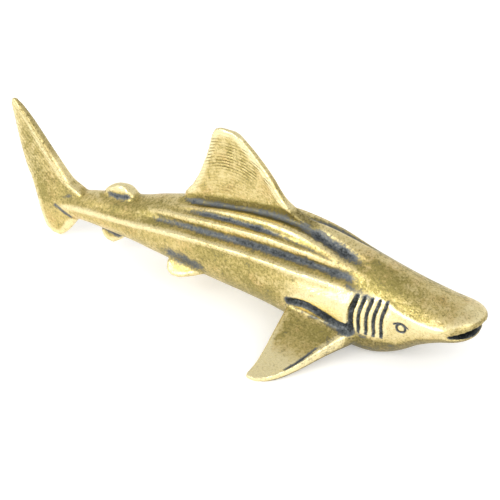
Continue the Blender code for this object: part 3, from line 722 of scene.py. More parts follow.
class Tree:
    """Node tree being built, with short ways to add nodes and link their sockets."""

    def __init__(self, tree):
        self.tree = tree

    def add(self, kind, settings=None, **values):
        """Node with settings and inputs, which are named or, as _0, counted."""
        node = self.tree.nodes.new(kind)
        for name, value in (settings or {}).items():
            setattr(node, name, value)
        for name, value in values.items():
            key = int(name[1:]) if name[0] == "_" else name.replace("_", " ")
            self.put(node.inputs[key], value)
        return node

    def put(self, socket, value):
        """Link a node, a socket or a sum to an input, or set the input's own value."""
        if isinstance(value, bpy.types.Node):
            value = value.outputs[0]
        value = getattr(value, "socket", value)
        if isinstance(value, bpy.types.NodeSocket):
            self.tree.links.new(value, socket)
        else:
            socket.default_value = value

    def node(self, kind, settings=None, output=0, **values):
        """One output of a new node, ready for sums."""
        return Sock(self, self.add(kind, settings, **values).outputs[output])

    def math(self, operation, *inputs):
        values = {f"_{place_in}": value for place_in, value in enumerate(inputs)}
        return self.node("ShaderNodeMath", {"operation": operation}, **values)

    def mix(self, factor, *colours):
        """Blend of two colours."""
        first, second = (c if isinstance(c, Sock) else (*c, 1) for c in colours)
        return self.node("ShaderNodeMix", {"data_type": "RGBA"}, 2, _0=factor, _6=first, _7=second)


# Gill slits, which Geometry Nodes cut into the head

GILL_INPUTS = {"Geometry": "Geometry", "Count": "Int", "Pitch": "Float", "Width": "Float",
               "Sink": "Float", "Top": "Vector", "Middle": "Vector", "Bottom": "Vector",
               "Material": "Material"}


def gill_tree():
    """Tree that cuts evenly spaced bowed slits into both sides of a mesh."""
    group = bpy.data.node_groups.new("gill_slits", "GeometryNodeTree")
    face = group.interface
    for name, kind in GILL_INPUTS.items():
        face.new_socket(name, in_out="INPUT", socket_type="NodeSocket" + kind)
    face.new_socket("Geometry", in_out="OUTPUT", socket_type="NodeSocketGeometry")
    tree = Tree(group)
    given = tree.add("NodeGroupInput").outputs

    slit = tree.add("GeometryNodeCurveQuadraticBezier", Resolution=20, Start=given["Top"],
                    Middle=given["Middle"], End=given["Bottom"])
    step = tree.add("ShaderNodeCombineXYZ", X=given["Pitch"])
    row = tree.add("GeometryNodeMeshLine", {"mode": "OFFSET"}, Count=given["Count"], Offset=step)
    slits = tree.add("GeometryNodeInstanceOnPoints", Points=row, Instance=slit)
    real = tree.add("GeometryNodeRealizeInstances", Geometry=slits)

    # Lay them a little under the skin
    hit = tree.add("GeometryNodeRaycast", Target_Geometry=given["Geometry"],
                   Ray_Direction=(0, 1, 0), Ray_Length=GILL_LAY_REACH).outputs
    inward = tree.add("ShaderNodeVectorMath", {"operation": "SCALE"}, _0=hit["Hit Normal"],
                      _3=given["Sink"])
    sunk = tree.add("ShaderNodeVectorMath", {"operation": "SUBTRACT"}, _0=hit["Hit Position"],
                    _1=inward)
    laid = tree.add("GeometryNodeSetPosition", Geometry=real, Position=sunk)

    # Tubes along them, which narrow at both ends, are the tools
    along = tree.node("GeometryNodeSplineParameter", None, "Factor")
    swell = tree.math("MULTIPLY_ADD", (along * math.pi).sine(), SLIT_SWELL, SLIT_END)
    radius = tree.math("MINIMUM", swell, 1.0) * given["Width"] / 2.0
    sized = tree.add("GeometryNodeSetCurveRadius", Curve=laid, Radius=radius)
    ring = tree.add("GeometryNodeCurvePrimitiveCircle", Resolution=10, Radius=1.0)
    tubes = tree.add("GeometryNodeCurveToMesh", Curve=sized, Profile_Curve=ring,
                     Scale=tree.add("GeometryNodeInputRadius"), Fill_Caps=True)
    other = tree.add("GeometryNodeTransform", Geometry=tubes, Scale=(1, -1, 1))
    both = tree.add("GeometryNodeJoinGeometry", _0=tubes)
    tree.put(both.inputs[0], other)
    cut = tree.add("GeometryNodeMeshBoolean", {"operation": "DIFFERENCE", "solver": "EXACT"},
                   _0=given["Geometry"], _1=both)
    whole = tree.add("GeometryNodeRealizeInstances", Geometry=cut)
    metal = tree.add("GeometryNodeSetMaterial", Geometry=whole, Material=given["Material"])
    tree.add("NodeGroupOutput", _0=metal)
    return group


def set_inputs(modifier, **values):
    """Set a Geometry Nodes modifier's inputs through their sockets' identifiers."""
    for item in modifier.node_group.interface.items_tree:
        if item.item_type == "SOCKET" and item.in_out == "INPUT" and item.name in values:
            modifier[item.identifier] = values[item.name]


def cut_gills(thing, sizes, metal):
    """Add the modifier that cuts the gill slits, laid out from the rear slit forward."""
    start = place(GILL_FROM_SNOUT, -GILL_START_OUT, GILL_TOP)
    end = place(GILL_FROM_SNOUT + GILL_LEAN, -GILL_START_OUT, GILL_BOTTOM)
    bulge = (start + end) / 2 + Vector((-2 * GILL_BOW, 0, 0))
    step = thing.modifiers.new("gill_slits", "NODES")
    step.node_group = gill_tree()
    set_inputs(step, Count=sizes.gill_count, Pitch=sizes.gill_pitch, Width=sizes.gill_width,
               Sink=sizes.gill_sink, Top=start, Middle=bulge, Bottom=end, Material=metal)


# Merging and smoothing, as a casting comes from its mould

def baked(thing, name):
    """Plain mesh of an object as its modifiers leave it."""
    bpy.context.view_layer.update()
    graph = bpy.context.evaluated_depsgraph_get()
    mesh = bpy.data.meshes.new_from_object(thing.evaluated_get(graph))
    mesh.name = name
    return mesh


def remove(things):
    for thing in things:
        bpy.data.objects.remove(thing, do_unlink=True)


def add_boolean(body, operation, operand):
    step = body.modifiers.new(operand.name, "BOOLEAN")
    step.operation = operation
    step.object = operand
    step.solver = "EXACT"


class Net:
    """Points of a mesh with their neighbours, for smoothing and for reading its shape."""

    def __init__(self, mesh):
        self.points = np.empty(len(mesh.vertices) * 3)
        mesh.vertices.foreach_get("co", self.points)
        self.points = self.points.reshape(-1, 3)
        edges = np.empty(len(mesh.edges) * 2, dtype=np.int64)
        mesh.edges.foreach_get("vertices", edges)
        edges = edges.reshape(-1, 2)
        self.start = np.concatenate([edges[:, 0], edges[:, 1]])
        self.end = np.concatenate([edges[:, 1], edges[:, 0]])
        self.count = np.bincount(self.start, minlength=len(self.points))

    def write(self, mesh):
        """Move the mesh's own points to where the net's are."""
        mesh.vertices.foreach_set("co", self.points.ravel())
        mesh.update()

    def average(self, values):
        """Mean of each point's neighbours."""
        if values.ndim == 1:
            total = np.bincount(self.start, values[self.end], len(self.points))
            return total / self.count
        return np.stack([self.average(column) for column in values.T], axis=1)

    def relaxed(self, values, rounds, amount=0.5, mask=None):
        amount = amount if mask is None else amount * mask
        if values.ndim > 1 and mask is not None:
            amount = amount[:, None]
        for _ in range(rounds):
            values = values + amount * (self.average(values) - values)
        return values

    def evened(self, rounds, mask=None):
        """Smoothing that keeps the volume."""
        points = self.points
        for _ in range(rounds):
            points = self.relaxed(points, 1, EVEN_OUT, mask)
            points = self.relaxed(points, 1, EVEN_BACK, mask)
        return points


def soften_roots(net, normals, rounds):
    """Fill the creases round the fins, away from the cuts in the head."""
    flat = net.relaxed(net.points, CREASE_ROUNDS)
    crease = step_mm(0.02, 0.10, ((flat - net.points) * normals).sum(axis=1))
    behind_head = soft_step(0.33, 0.38, body_share(net.points))
    mask = np.clip(net.relaxed(crease, 4) * 1.6, 0, 1) * behind_head
    net.points = net.relaxed(net.points, rounds, 0.5, mask)


def distance_to_path(points, path):
    """Distance of each point to the nearest piece of a path through 3-D points."""
    best = np.full(len(points), np.inf)
    for start, end in zip(path, path[1:]):
        line = end - start
        along = np.clip((points - start) @ line / (line @ line), 0, 1)
        gap = np.linalg.norm(points - start - along[:, None] * line, axis=1)
        best = np.minimum(best, gap)
    return best


def skin_path(path):
    return np.array([skin_point(*row) for row in path])


def to_right(points):
    """Points folded over to the right side, where the paths are."""
    return np.stack([points[:, 0], -np.abs(points[:, 1]), points[:, 2]], axis=1)


def soft_step(low, high, values):
    """Smooth rise from 0 at low to 1 at high."""
    share = np.clip((values - low) / (high - low), 0, 1)
    return share * share * (3 - 2 * share)


def soft_fall(start, end, values):
    """Smooth fall from 1 at the start to 0 at the end."""
    return 1 - soft_step(start, end, values)


def step_mm(low, high, values):
    """Soft step whose two ends are given in millimetres."""
    return soft_step(low * MM, high * MM, values)


def fall_mm(start, end, values):
    return soft_fall(start * MM, end * MM, values)


def window(rise, fall, values):
    """1 between a soft step up and one down, each from its first to its second value."""
    return soft_step(*rise, values) * soft_fall(*fall, values)


def engrave(net, normals, sizes):
    """Press the eye's ring, the brow line and the fin's line into the skin."""
    right = to_right(net.points)
    centre = np.array(eye_centre())
    gap = np.linalg.norm(right - centre, axis=1)
    ring = np.exp(-((gap - sizes.eye_radius) / sizes.eye_line) ** 2)
    brow = np.exp(-(distance_to_path(right, skin_path(brow_path())) / sizes.brow_line) ** 2)
    fin = np.exp(-(distance_to_path(right, fin_line_path()) / sizes.fin_line) ** 2)
    pressed = sizes.eye_depth * ring + sizes.brow_depth * brow * (1 - ring)
    pressed += sizes.fin_depth * fin
    pupil = PUPIL_RISE * np.exp(-(gap / PUPIL_RADIUS) ** 2)
    net.points = net.points - normals * (pressed - pupil)[:, None]
    return np.maximum.reduce([ring, brow, fin])


def vertex_normals(mesh):
    normals = np.empty(len(mesh.vertices) * 3, dtype=np.float32)
    mesh.vertex_normals.foreach_get("vector", normals)
    return normals.reshape(-1, 3).astype(float)


def refine_near_eyes(mesh):
    """Split the faces round both eyes, so that the ring has enough points."""
    skin = bmesh.new()
    skin.from_mesh(mesh)
    centre = eye_centre()
    for _ in range(2):
        near = []
        for edge in skin.edges:
            x, y, z = edge.verts[0].co
            if (Vector((x, -abs(y), z)) - centre).length < EYE_PATCH:
                near.append(edge)
        bmesh.ops.subdivide_edges(skin, edges=near, cuts=1, use_grid_fill=True)
    bmesh.ops.triangulate(skin, faces=[f for f in skin.faces if len(f.verts) > 4])
    skin.to_mesh(mesh)
    skin.free()


def body_share(points):
    """Place of each point along the body, as a share of its length."""
    return (total_length() / 2 - points[:, 0]) / BODY_LENGTH


def line_shade(right, line, turn, first, last, breadth):
    """How near each point lies to a fold line, fading out at the line's two ends."""
    places = np.linspace(first, last, LINE_STEPS)
    path = [(share * BODY_LENGTH, fold_angle(line, share) + turn) for share in places]
    gap = distance_to_path(right, skin_path(path))
    along = body_share(right)
    fade = soft_step(first, first + 0.07, along) * soft_fall(last - 0.13, last, along)
    return np.exp(-(gap / breadth) ** 2) * fade


def spot_shade(right, path, breadth):
    """How near each point lies to a short path of places."""
    return np.exp(-(distance_to_path(right, path) / breadth) ** 2)


def depth_of_cuts(right, uncut):
    """Depth of each point of the front half under the body before it was cut."""
    depth = np.zeros(len(right))
    for k in np.flatnonzero(body_share(right) < 0.5):
        foot, normal, _, _ = uncut.find_nearest(Vector(right[k]))
        depth[k] = (foot - Vector(right[k])).dot(normal)
    return depth


def mouth_shade(right, depth):
    """Points inside the mouth slot, behind both lips."""
    from_snout = total_length() / 2 - right[:, 0]
    half = section_at(MOUTH_CORNER).width / 2
    middle = np.sqrt(np.clip(1 - (right[:, 1] / half) ** 2, 0, 1))
    upper = right[:, 2] > MOUTH_LEVEL + MOUTH_SMILE * (middle - 0.5)
    edge = MOUTH_CORNER + (np.where(upper, MOUTH_LIP, MOUTH_JAW) - MOUTH_CORNER) * middle
    start = edge - np.where(upper, 0.05 * MM, 0.40 * MM)
    near = step_mm(-7.0, -6.0, -from_snout)
    inside = step_mm(0.10, 0.22, depth)
    return near * inside * step_mm(0, 0.15, from_snout - start)


def above(right, line=None):
    """Height of each point above a fold line, or above the crest."""
    shares = np.linspace(0.01, 0.99, 50)
    angles = [fold_angle(line, share) if line else 0.0 for share in shares]
    heights = [skin_point(share * BODY_LENGTH, angle).z for share, angle in zip(shares, angles)]
    return right[:, 2] - np.interp(body_share(right), shares, heights)


# Dark bands along the folds: fold line, degrees that they lie below it, first and last
# share of the body, breadth in millimetres, strength
PATINA_LINES = (
    ("upper_groove", 0, 0.225, 0.47, 1.00, 0.95),
    ("upper_groove", -2, 0.36, 0.64, 0.85, 0.33),
    ("middle_groove", 0, 0.38, 0.70, 0.50, 0.95),
    ("middle_groove", 0, 0.26, 0.52, 0.30, 0.35),
    ("lower_groove", 0, 0.225, 0.62, 0.75, 0.92),
    ("lower_groove", 0, 0.48, 0.76, 0.70, 0.78),
)

# Short dark places on the skin, by distance behind the snout and angle, and near the
# small fins, by distance behind the snout, side and height, in millimetres and degrees.
# Each has its path, its breadth and its strength
SKIN_SPOTS = (
    (((49.2, 110), (44.6, 114)), 1.20, 0.74),
    (((18.6, 107), (16.2, 110)), 0.40, 0.60),
    (((19.2, 56), (16.4, 57)), 0.85, 0.42),
)
FIN_SPOTS = (
    (((62.8, -1.0, 10.7), (61.2, -1.0, 10.7), (59.2, -1.0, 11.2)), 0.42, 0.95),
    (((64.2, -0.6, 3.9), (61.8, -0.6, 3.5), (60.0, -1.0, 4.2)), 0.50, 1.0),
    (((72.4, -0.8, 5.3), (69.7, -1.1, 4.4)), 0.45, 0.9),
)

# Dark bands of the groove over the pectoral fin: drop at the front, strength, and
# distance in millimetres at which they end
ROOT_BANDS = ((0.0, 1.0, 0.80), (0.55 * MM, 0.92, 1.0))
SIDE_ON = np.array((1.0, 0.0, 1.0))   # flattens points to their side view


def side_gap(right, path):
    """Distance of each point to a path, as seen from the side."""
    return distance_to_path(right * SIDE_ON, path * SIDE_ON)


def dark_shade(right, recess, engraved, uncut, sizes):
    """Where the dark patina lies: grooves, slits, mouth, creases and engraved lines, and the
    painted shade under the throat.
    """
    along = body_share(right)
    # Painted shade under the throat, low on the front of the body
    throat_painted_shade = fall_mm(3.6, 5.0, right[:, 2]) * window((0.12, 0.16), (0.26, 0.32), along)
    mouth = mouth_shade(right, depth_of_cuts(right, uncut))
    shades = [recess * 0.55, engraved, mouth, throat_painted_shade * 0.24]
    for line, turn, first, last, breadth, strength in PATINA_LINES:
        shades.append(strength * line_shade(right, line, turn, first, last, breadth * MM))
    for path, breadth, strength in SKIN_SPOTS:
        path = skin_path([(from_snout * MM, angle) for from_snout, angle in path])
        shades.append(strength * spot_shade(right, path, breadth * MM))
    for path, breadth, strength in FIN_SPOTS:
        path = np.array([place(*(size * MM for size in row)) for row in path])
        shades.append(strength * spot_shade(right, path, breadth * MM))
    for slit in range(sizes.gill_count):
        path = skin_path(gill_path(slit, sizes.gill_pitch))
        gap = side_gap(right, path)
        half = (sizes.gill_width if slit else GILL_REAR_WIDTH) / 2
        shades.append(soft_fall(half * 0.50, half * 0.98, gap))
    for drop, strength, edge in ROOT_BANDS:
        path = skin_path(root_groove_path(drop))
        near = fall_mm(1.1, 1.6, distance_to_path(right, path))
        gap = side_gap(right, path)
        shades.append(strength * near * fall_mm(0.30, edge, gap))
    return np.clip(np.maximum.reduce(shades), 0, 1)


Zones = namedtuple("Zones", "along out up above_ridge on_body dorsal tail")


def read_zones(right):
    """Where each point lies: along the body, out, up, and on which part."""
    along = body_share(right)
    out = -right[:, 1]
    up = right[:, 2]
    above_crest = step_mm(0.5, 1.3, above(right))
    return Zones(
        along, out, up,
        above_ridge=step_mm(-0.1, 0.5, above(right, "lateral_ridge")),
        on_body=fall_mm(6.8, 7.6, out),
        dorsal=above_crest * soft_fall(0.86, 0.90, along),
        tail=soft_step(0.95, 0.98, along) * step_mm(8.0, 10.0, up),
    )


def matt_and_painted_shade_mask(right, zone, normals):
    """Olive matt places: the back, the flank and the lip; and painted shade, in olive, on the
    belly, under the throat, on the fins' front edges and partly on the pectoral fin's root.
    """
    on_head = soft_fall(0.26, 0.36, zone.along)
    snout = soft_step(0.02, 0.13, zone.along)
    back = zone.above_ridge * zone.on_body * (1 - zone.dorsal)
    back = back * (0.50 + 0.14 * on_head) * (0.55 + 0.45 * snout)
    front = soft_fall(0.30, 0.42, zone.along)
    # Painted shade: darker olive on faces turned downward, strongest under the head
    belly = soft_step(0.15, 0.60, -normals[:, 2]) * (0.22 + 0.98 * front)
    # Painted shade under the throat, low on the front of the body
    throat_painted_shade = fall_mm(3.6, 5.0, zone.up) * front * zone.on_body
    middle = window((0.34, 0.44), (0.56, 0.68), zone.along)
    flank = (1 - zone.above_ridge) * zone.on_body * middle * 0.65
    # Painted shade: the forward-facing front edges of the dorsal and tail fins are made olive
    edges = np.maximum(soft_step(0.45, 0.80, normals[:, 0]) * zone.dorsal,
                       soft_step(0.10, 0.30, normals[:, 0]) * zone.tail) * 0.85
    # The inner upper face of each pectoral fin is olive: partly the skin of age, partly painted
    # shade beside the body
    root = step_mm(5.6, 6.4, zone.out) * soft_step(0.3, 0.6, normals[:, 2])
    root = root * fall_mm(7.5, 11.5, zone.out) * soft_step(0.24, 0.30, zone.along) * 0.75
    lip = soft_fall(0.60, 0.85, normals[:, 2]) * soft_fall(0.03, 0.09, zone.along) * 0.9
    band = 1.6 * line_shade(right, "upper_groove", -7, 0.32, 0.72, 1.4 * MM) * (1 - zone.dorsal)
    shades = [back, belly, throat_painted_shade, flank, edges, root, lip, band]
    return np.clip(np.maximum.reduce(shades), 0, 1)


def polish_and_painted_highlight_mask(zone, normals):
    """Brighter places: the cheeks, the flank plates, the snout and the pectoral fins' tips, and a
    painted highlight on the side faces of the dorsal and tail fins.
    """
    side = (1 - zone.above_ridge) * zone.on_body * soft_fall(0.32, 0.44, zone.along)
    side = side * step_mm(3.5, 5.5, zone.up) * soft_step(0.03, 0.10, zone.along)
    # Painted highlight: the side faces of the dorsal and tail fins are made brighter
    upright = soft_step(0.75, 0.95, np.abs(normals[:, 1]))
    faces = upright * np.maximum(0.35 * zone.dorsal, 0.5 * zone.tail)
    tip = 1.7 * step_mm(10.5, 14.5, zone.out) * soft_fall(0.5, 0.6, zone.along)
    snout = 0.7 * zone.above_ridge * soft_fall(0.05, 0.20, zone.along)
    return np.maximum.reduce([side, faces, tip, snout])


def read_patina(net, normals, engraved, uncut, sizes):
    """Marks for the finish: dark recesses, worn edges, matt, polished and scored places, and where
    shade and highlight are painted.
    """
    right = to_right(net.points)
    flat = net.relaxed(net.points, DEPTH_ROUNDS)
    depth = net.relaxed(((flat - net.points) * normals).sum(axis=1), 3)
    recess = step_mm(0.02, 0.16, depth)
    zone = read_zones(right)
    upright = soft_step(0.80, 0.96, np.abs(normals[:, 1]))
    scored = step_mm(20.4, 21.6, zone.up) * fall_mm(25.2, 26.0, zone.up)
    return {
        "patina_and_painted_shade": dark_shade(right, recess, engraved, uncut, sizes),
        "wear": step_mm(0.015, 0.12, -depth),
        "matt_and_painted_shade": matt_and_painted_shade_mask(right, zone, normals),
        "polish_and_painted_highlight": polish_and_painted_highlight_mask(zone, normals),
        "hatch": upright * zone.dorsal * (0.3 + 0.7 * scored),
        "scuff": upright * zone.tail,
    }


# Finish

# Scale, detail and roughness of the clouds, blotches, grains, specks and warm patches
NOISES = ((150.0, 5.0, 0.55), (420.0, 4.0, 0.6), (1600.0, 3.0, 0.65), (3200.0, 2.0, 0.7),
          (260.0, 3.0, 0.6))


def new_material(name):
    """Material with its tree and its shader."""
    material = bpy.data.materials.new(name)
    material.use_nodes = True
    return material, Tree(material.node_tree), material.node_tree.nodes["Principled BSDF"]


def aged_brass(look):
    """Aged brass: bright gold on the high places, olive skin, near black in recesses."""
    material, tree, shader = new_material("aged_brass")

    here = tree.node("ShaderNodeTexCoord", None, "Object")
    patina_and_painted_shade, wear, matt_and_painted_shade, polish_and_painted_highlight, hatch, scuff = (
        tree.node("ShaderNodeAttribute", {"attribute_name": name}, "Fac")
        for name in ("patina_and_painted_shade", "wear", "matt_and_painted_shade", "polish_and_painted_highlight", "hatch", "scuff"))
    split = tree.add("ShaderNodeSeparateXYZ", _0=here).outputs
    x, z = Sock(tree, split["X"]), Sock(tree, split["Z"])

    cloud, blotch, grain, speck, warmth = (
        tree.node("ShaderNodeTexNoise", Vector=here, Scale=scale, Detail=detail, Roughness=rough)
        for scale, detail, rough in NOISES)

    # Olive skin over the gold, in clouds and grains, worn off the high places; it also carries the
    # painted shade on the belly, the throat and the fins' front edges, and gives way to the painted
    # highlight on the fins' faces
    skin = cloud.step(0.38, 0.66) * 0.45 + blotch.step(0.40, 0.68) * 0.35 + matt_and_painted_shade * 0.75
    skin = (skin + (grain - 0.5) * 1.6 + (speck - 0.5) * 1.2 - wear * 0.9 - polish_and_painted_highlight * 0.60).clamped()
    clean = tree.mix(warmth.step(0.50, 0.68) * 0.6, look.gold, look.warm)
    base = tree.mix(skin, clean, look.olive)
    # Bright gold on worn and polished places, and as painted highlight on the side faces of the
    # dorsal and tail fins
    bright = wear * (1.0 - matt_and_painted_shade * 0.8) + polish_and_painted_highlight * 0.65 * (1.0 - matt_and_painted_shade) + (0.42 - blotch) * 0.9
    base = tree.mix((bright + (0.5 - grain) * 1.2).clamped(), base, look.bright)
    # Dark olive in specks of dust, and as painted shade where the matt mask is strong: belly,
    # throat, fins' front edges
    dust_and_painted_shade = (speck.step(0.48, 0.72) * (0.20 + matt_and_painted_shade * 0.45) + matt_and_painted_shade.step(0.70, 1.0) * 0.55).clamped()
    base = tree.mix(dust_and_painted_shade, base, look.olive_dark)

    # Patina in the recesses, and the painted shade under the throat: a soft speckled border, blue
    # grey, then near black
    spread = patina_and_painted_shade * 1.1 + (blotch - 0.5) * 1.1 + (grain - 0.5) * 0.8 + (speck - 0.5) * 0.6
    broken = spread.step(0.18, 0.78)
    core = spread.step(0.58, 1.30)
    dark = tree.mix(core, look.patina_sheen, look.patina_and_painted_shade)
    halo = (patina_and_painted_shade * 1.5 + (blotch - 0.5) * 0.9 + (grain - 0.5) * 0.5).step(0.10, 0.70)
    base = tree.mix(halo * 0.55, base, look.olive_dark)
    base = tree.mix(broken, base, dark)

    # Fine arched tool marks on the dorsal fin, and slanting ones on the tail
    level = z + (x - look.mark_middle) * (x - look.mark_middle) * look.mark_bow
    wave = level * (math.tau / look.mark_pitch) + cloud * 9.0 + blotch * 4.0
    wave = wave.sine() * 0.5 + 0.5
    slant = ((z + x) * (math.tau / look.scuff_pitch) + blotch * 5.0).sine() * 0.5 + 0.5
    lines = wave ** 3.0 * hatch * blotch.step(0.38, 0.54) + slant ** 4.0 * scuff * 0.4
    base = tree.mix((lines * 0.85).clamped(), base, look.olive_dark)

    rough = (0.29 + broken * 0.16 + matt_and_painted_shade * 0.16 + (grain - 0.5) * 0.25).clamped()
    metal = 1.0 - broken * 0.3 - core * 0.4
    height = grain * 0.5 + speck * 0.35 + blotch * 0.4 - lines * 0.7 - broken * 0.25
    bump = tree.node("ShaderNodeBump", Strength=0.65, Distance=0.12 * MM, Height=height)
    shader.inputs["Specular IOR Level"].default_value = 0.25
    for name, value in (("Base Color", base), ("Roughness", rough), ("Metallic", metal),
                        ("Normal", bump)):
        tree.put(shader.inputs[name], value)
    return material


# What a user can change

def length(name, text, size):
    return bpy.props.FloatProperty(name=name, description=text, default=size, unit="LENGTH")


def number(name, text, value, subtype="NONE"):
    return bpy.props.FloatProperty(name=name, description=text, default=value, subtype=subtype)


def count(name, text, value):
    return bpy.props.IntProperty(name=name, description=text, default=value)


def colour(name, text, *value):
    return bpy.props.FloatVectorProperty(name=name, description=text, default=value,
                                         subtype="COLOR")


class FigurineSizes(bpy.types.PropertyGroup):
    ring_step: length("Ring step", "Distance between two rings of the body", 0.5 * MM)
    voxel: length("Grain", "Size of the grid in which body and fins are merged", 0.23 * MM)
    gill_count: count("Gill slits", "Slits on each side of the head", 5)
    gill_pitch: length("Gill pitch", "Distance from one gill slit to the next", 1.15 * MM)
    gill_width: length("Gill width", "Width of the tool that cuts the slits", 0.66 * MM)
    gill_sink: length("Gill depth", "Depth of the tool's middle under the skin", 0.12 * MM)
    eye_radius: length("Eye radius", "Radius of the ring round the eye", 0.68 * MM)
    eye_line: length("Eye line", "Half the breadth of the ring", 0.19 * MM)
    eye_depth: length("Eye depth", "Depth of the ring", 0.17 * MM)
    brow_line: length("Brow line", "Half the breadth of the line above the eye", 0.16 * MM)
    brow_depth: length("Brow depth", "Depth of the line above the eye", 0.1 * MM)
    fin_line: length("Fin line", "Half the breadth of the line on the pectoral fin", 0.2 * MM)
    fin_depth: length("Fin line depth", "Depth of the line on the pectoral fin", 0.16 * MM)
    fillet: count("Fillet", "Rounds of softening where a fin meets the body", 14)


class BrassLook(bpy.types.PropertyGroup):
    # Bright also paints the highlight on the side faces of the dorsal and tail fins
    bright: colour("Bright", "Colour of the worn high places", 0.93, 0.81, 0.46)
    gold: colour("Gold", "Colour of the clean brass", 0.66, 0.52, 0.20)
    warm: colour("Warm gold", "Colour of the warmer patches", 0.68, 0.46, 0.18)
    # Olive and dark olive also paint the shade on the belly, under the throat and on the fins'
    # front edges
    olive: colour("Olive", "Colour of the thin skin of age", 0.36, 0.30, 0.095)
    olive_dark: colour("Dark olive", "Colour in the tool marks", 0.16, 0.13, 0.045)
    patina_and_painted_shade: colour("Patina", "Colour in the recesses", 0.018, 0.022, 0.022)
    patina_sheen: colour("Patina sheen", "Greyer colour at their edges", 0.155, 0.168, 0.172)
    mark_pitch: length("Mark pitch", "Distance between two tool marks on the dorsal fin", 0.5 * MM)
    mark_middle: length("Mark middle", "Where along the fin the marks rise highest", -1.2 * MM)
    mark_bow: number("Mark bow", "How strongly the tool marks arch", 60.0)
    scuff_pitch: length("Scuff pitch", "Distance between two slanting marks on the tail", 0.8 * MM)


class StageSet(bpy.types.PropertyGroup):
    azimuth: number("Azimuth", "Turn of the camera from the right side to the head",
                    math.radians(31.5), "ANGLE")
    elevation: number("Elevation", "Height of the camera as an angle", math.radians(33.0), "ANGLE")
    distance: length("Distance", "Distance of the camera", 0.48)
    lens: number("Lens", "Focal length on a 36 mm wide sensor, in millimetres", 237.2)
    floor: colour("Floor", "Colour of the floor", 0.86, 0.86, 0.86)
    floor_glow: number("Floor glow", "White that camera and reflections see on the floor", 0.32)
    sky_low: number("Walls", "Brightness of the room's walls", 0.84)
    sky_high: number("Ceiling", "Brightness of the room overhead", 0.74)
    key_power: number("Key light", "Power of the main light in watts", 4.5)


CAMERA_TARGET = Vector((1.512 * MM, 0, 8.297 * MM))
SENSOR_WIDTH = 36              # millimetres, as the lens is given
FLOOR_SIZE = 2.0
FLOOR_DROP = 0.01 * MM         # keeps the floor just under the casting's resting points

# Lights: name, place, size across, and power as a share of the key light's
LAMPS = (("key_light", (-0.35, -0.80, 0.45), 0.70, 1.0),
         ("fill_light", (0.70, -0.45, 0.55), 0.60, 0.6))


class FIGURINE_OT_casting(bpy.types.Operator):
    """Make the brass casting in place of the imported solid"""

    bl_idname = "figurine.casting"
    bl_label = "Brass casting"

    def execute(self, context):
        sizes = context.scene.figurine_sizes
        metal = aged_brass(context.scene.figurine_brass)
        body = make_body(sizes.ring_step, BODY_RING_POINTS)
        uncut = BVHTree.FromPolygons([vert.co.copy() for vert in body.data.vertices],
                                     [list(face.vertices) for face in body.data.polygons])
        fins = make_upright_fins()
        for piece in (make_pectoral(), make_pelvic()):
            fins += [piece, mirrored(piece)]
        cuts = []
        for cut in (skin_cut("root_groove", root_groove_path(), ROOT_GROOVE_WIDTH,
                             ROOT_GROOVE_DEPTH),
                    skin_cut("rear_gill_slit", gill_path(0, 0.0), GILL_REAR_WIDTH, GILL_DEPTH)):
            cuts += [cut, mirrored(cut)]
        cuts.append(loft("mouth_slot", mouth_rings(MOUTH_STEPS)))
        for fin in fins:
            add_boolean(body, "UNION", fin)
        for cut in cuts:
            add_boolean(body, "DIFFERENCE", cut)
        cut_gills(body, sizes, metal)
        merge = body.modifiers.new("merge", "REMESH")
        merge.mode = "VOXEL"
        merge.voxel_size = sizes.voxel
        mesh = baked(body, "shark_casting")
        remove([body] + fins + cuts)

        refine_near_eyes(mesh)
        net = Net(mesh)
        net.points = net.evened(EVEN_ROUNDS)
        soften_roots(net, vertex_normals(mesh), sizes.fillet)
        net.write(mesh)
        normals = vertex_normals(mesh)
        engraved = engrave(net, normals, sizes)
        net.points = np.clip(net.points, NODE_LOW, NODE_HIGH)
        net.write(mesh)
        marks = read_patina(net, vertex_normals(mesh), engraved, uncut, sizes)
        for name, values in marks.items():
            layer = mesh.attributes.new(name, "FLOAT", "POINT")
            layer.data.foreach_set("value", np.asarray(values, dtype=np.float32))
        mesh.materials.clear()
        mesh.materials.append(metal)
        mesh.shade_smooth()

        casting = bpy.data.objects.new("shark_casting", mesh)
        context.scene.collection.objects.link(casting)
        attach(casting, "root")
        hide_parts("shark")
        return {"FINISHED"}


def floor_paper(stage):
    """Matt floor that looks white to the camera and in the metal, and keeps its shadow."""
    paper, tree, shader = new_material("floor_paper")
    shader.inputs["Base Color"].default_value = (*stage.floor, 1)
    shader.inputs["Roughness"].default_value = 0.9
    shader.inputs["Emission Strength"].default_value = stage.floor_glow
    rays = tree.add("ShaderNodeLightPath").outputs
    shown = Sock(tree, rays["Is Camera Ray"]) + rays["Is Glossy Ray"]
    shown = (shown + rays["Is Transmission Ray"]).clamped()
    tree.put(shader.inputs["Emission Color"], tree.mix(shown, (0, 0, 0), (1, 1, 1)))
    return paper


def aim(thing):
    thing.rotation_euler = (CAMERA_TARGET - thing.location).to_track_quat("-Z", "Y").to_euler()


def lamp(name, location, size, power):
    light = bpy.data.lights.new(name, "AREA")
    light.shape = "DISK"
    light.size = size
    light.energy = power
    thing = bpy.data.objects.new(name, light)
    thing.location = location
    bpy.context.scene.collection.objects.link(thing)
    aim(thing)


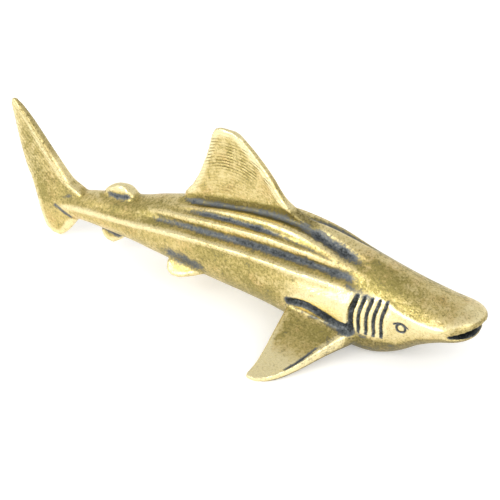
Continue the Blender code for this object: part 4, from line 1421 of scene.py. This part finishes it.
class FIGURINE_OT_stage(bpy.types.Operator):
    """Make the floor, the lights and the camera"""

    bl_idname = "figurine.stage"
    bl_label = "Studio stage"

    def execute(self, context):
        scene = context.scene
        stage = scene.figurine_stage
        floor_mesh = bmesh.new()
        bmesh.ops.create_grid(floor_mesh, x_segments=1, y_segments=1, size=FLOOR_SIZE)
        floor = new_object("floor", floor_mesh)
        floor.location.z = -FLOOR_DROP
        floor.data.materials.append(floor_paper(stage))

        camera_data = bpy.data.cameras.new("camera")
        camera_data.lens = stage.lens
        camera_data.sensor_width = SENSOR_WIDTH
        camera_data.sensor_fit = "HORIZONTAL"
        camera = bpy.data.objects.new("camera", camera_data)
        flat = math.cos(stage.elevation) * stage.distance
        camera.location = CAMERA_TARGET + Vector((
            math.sin(stage.azimuth) * flat, -math.cos(stage.azimuth) * flat,
            math.sin(stage.elevation) * stage.distance))
        scene.collection.objects.link(camera)
        aim(camera)
        scene.camera = camera

        for name, location, size, share in LAMPS:
            lamp(name, location, size, stage.key_power * share)

        world = bpy.data.worlds.new("studio")
        world.use_nodes = True
        tree = Tree(world.node_tree)
        back = world.node_tree.nodes["Background"]
        way = tree.node("ShaderNodeTexCoord", None, "Generated")
        up = tree.node("ShaderNodeSeparateXYZ", None, "Z", _0=way).step(0.45, 0.95)
        sky = tree.mix(up, (stage.sky_low,) * 3, (stage.sky_high,) * 3)
        tree.put(back.inputs["Color"], sky)
        scene.world = world
        scene.view_settings.view_transform = "Standard"
        return {"FINISHED"}


class FIGURINE_PT_panel(bpy.types.Panel):
    """Lists the pieces and their sizes"""

    bl_idname = "FIGURINE_PT_panel"
    bl_label = "Shark figurine"
    bl_space_type = "VIEW_3D"
    bl_region_type = "UI"
    bl_category = "Figurine"

    def draw(self, context):
        scene = context.scene
        for operator, group in (("figurine.casting", scene.figurine_sizes),
                                (None, scene.figurine_brass),
                                ("figurine.stage", scene.figurine_stage)):
            box = self.layout.box()
            if operator:
                box.operator(operator)
            for name in group.__annotations__:
                box.prop(group, name)


SETTINGS = {"figurine_sizes": FigurineSizes, "figurine_brass": BrassLook,
            "figurine_stage": StageSet}
CLASSES = (*SETTINGS.values(), FIGURINE_OT_casting, FIGURINE_OT_stage, FIGURINE_PT_panel)


def register():
    for entry in CLASSES:
        bpy.utils.register_class(entry)
    for name, group in SETTINGS.items():
        setattr(bpy.types.Scene, name, bpy.props.PointerProperty(type=group))


def unregister():
    for name in SETTINGS:
        delattr(bpy.types.Scene, name)
    for entry in reversed(CLASSES):
        bpy.utils.unregister_class(entry)


def main():
    register()
    bpy.ops.figurine.casting()
    bpy.ops.figurine.stage()


if __name__ == "__main__":
    main()
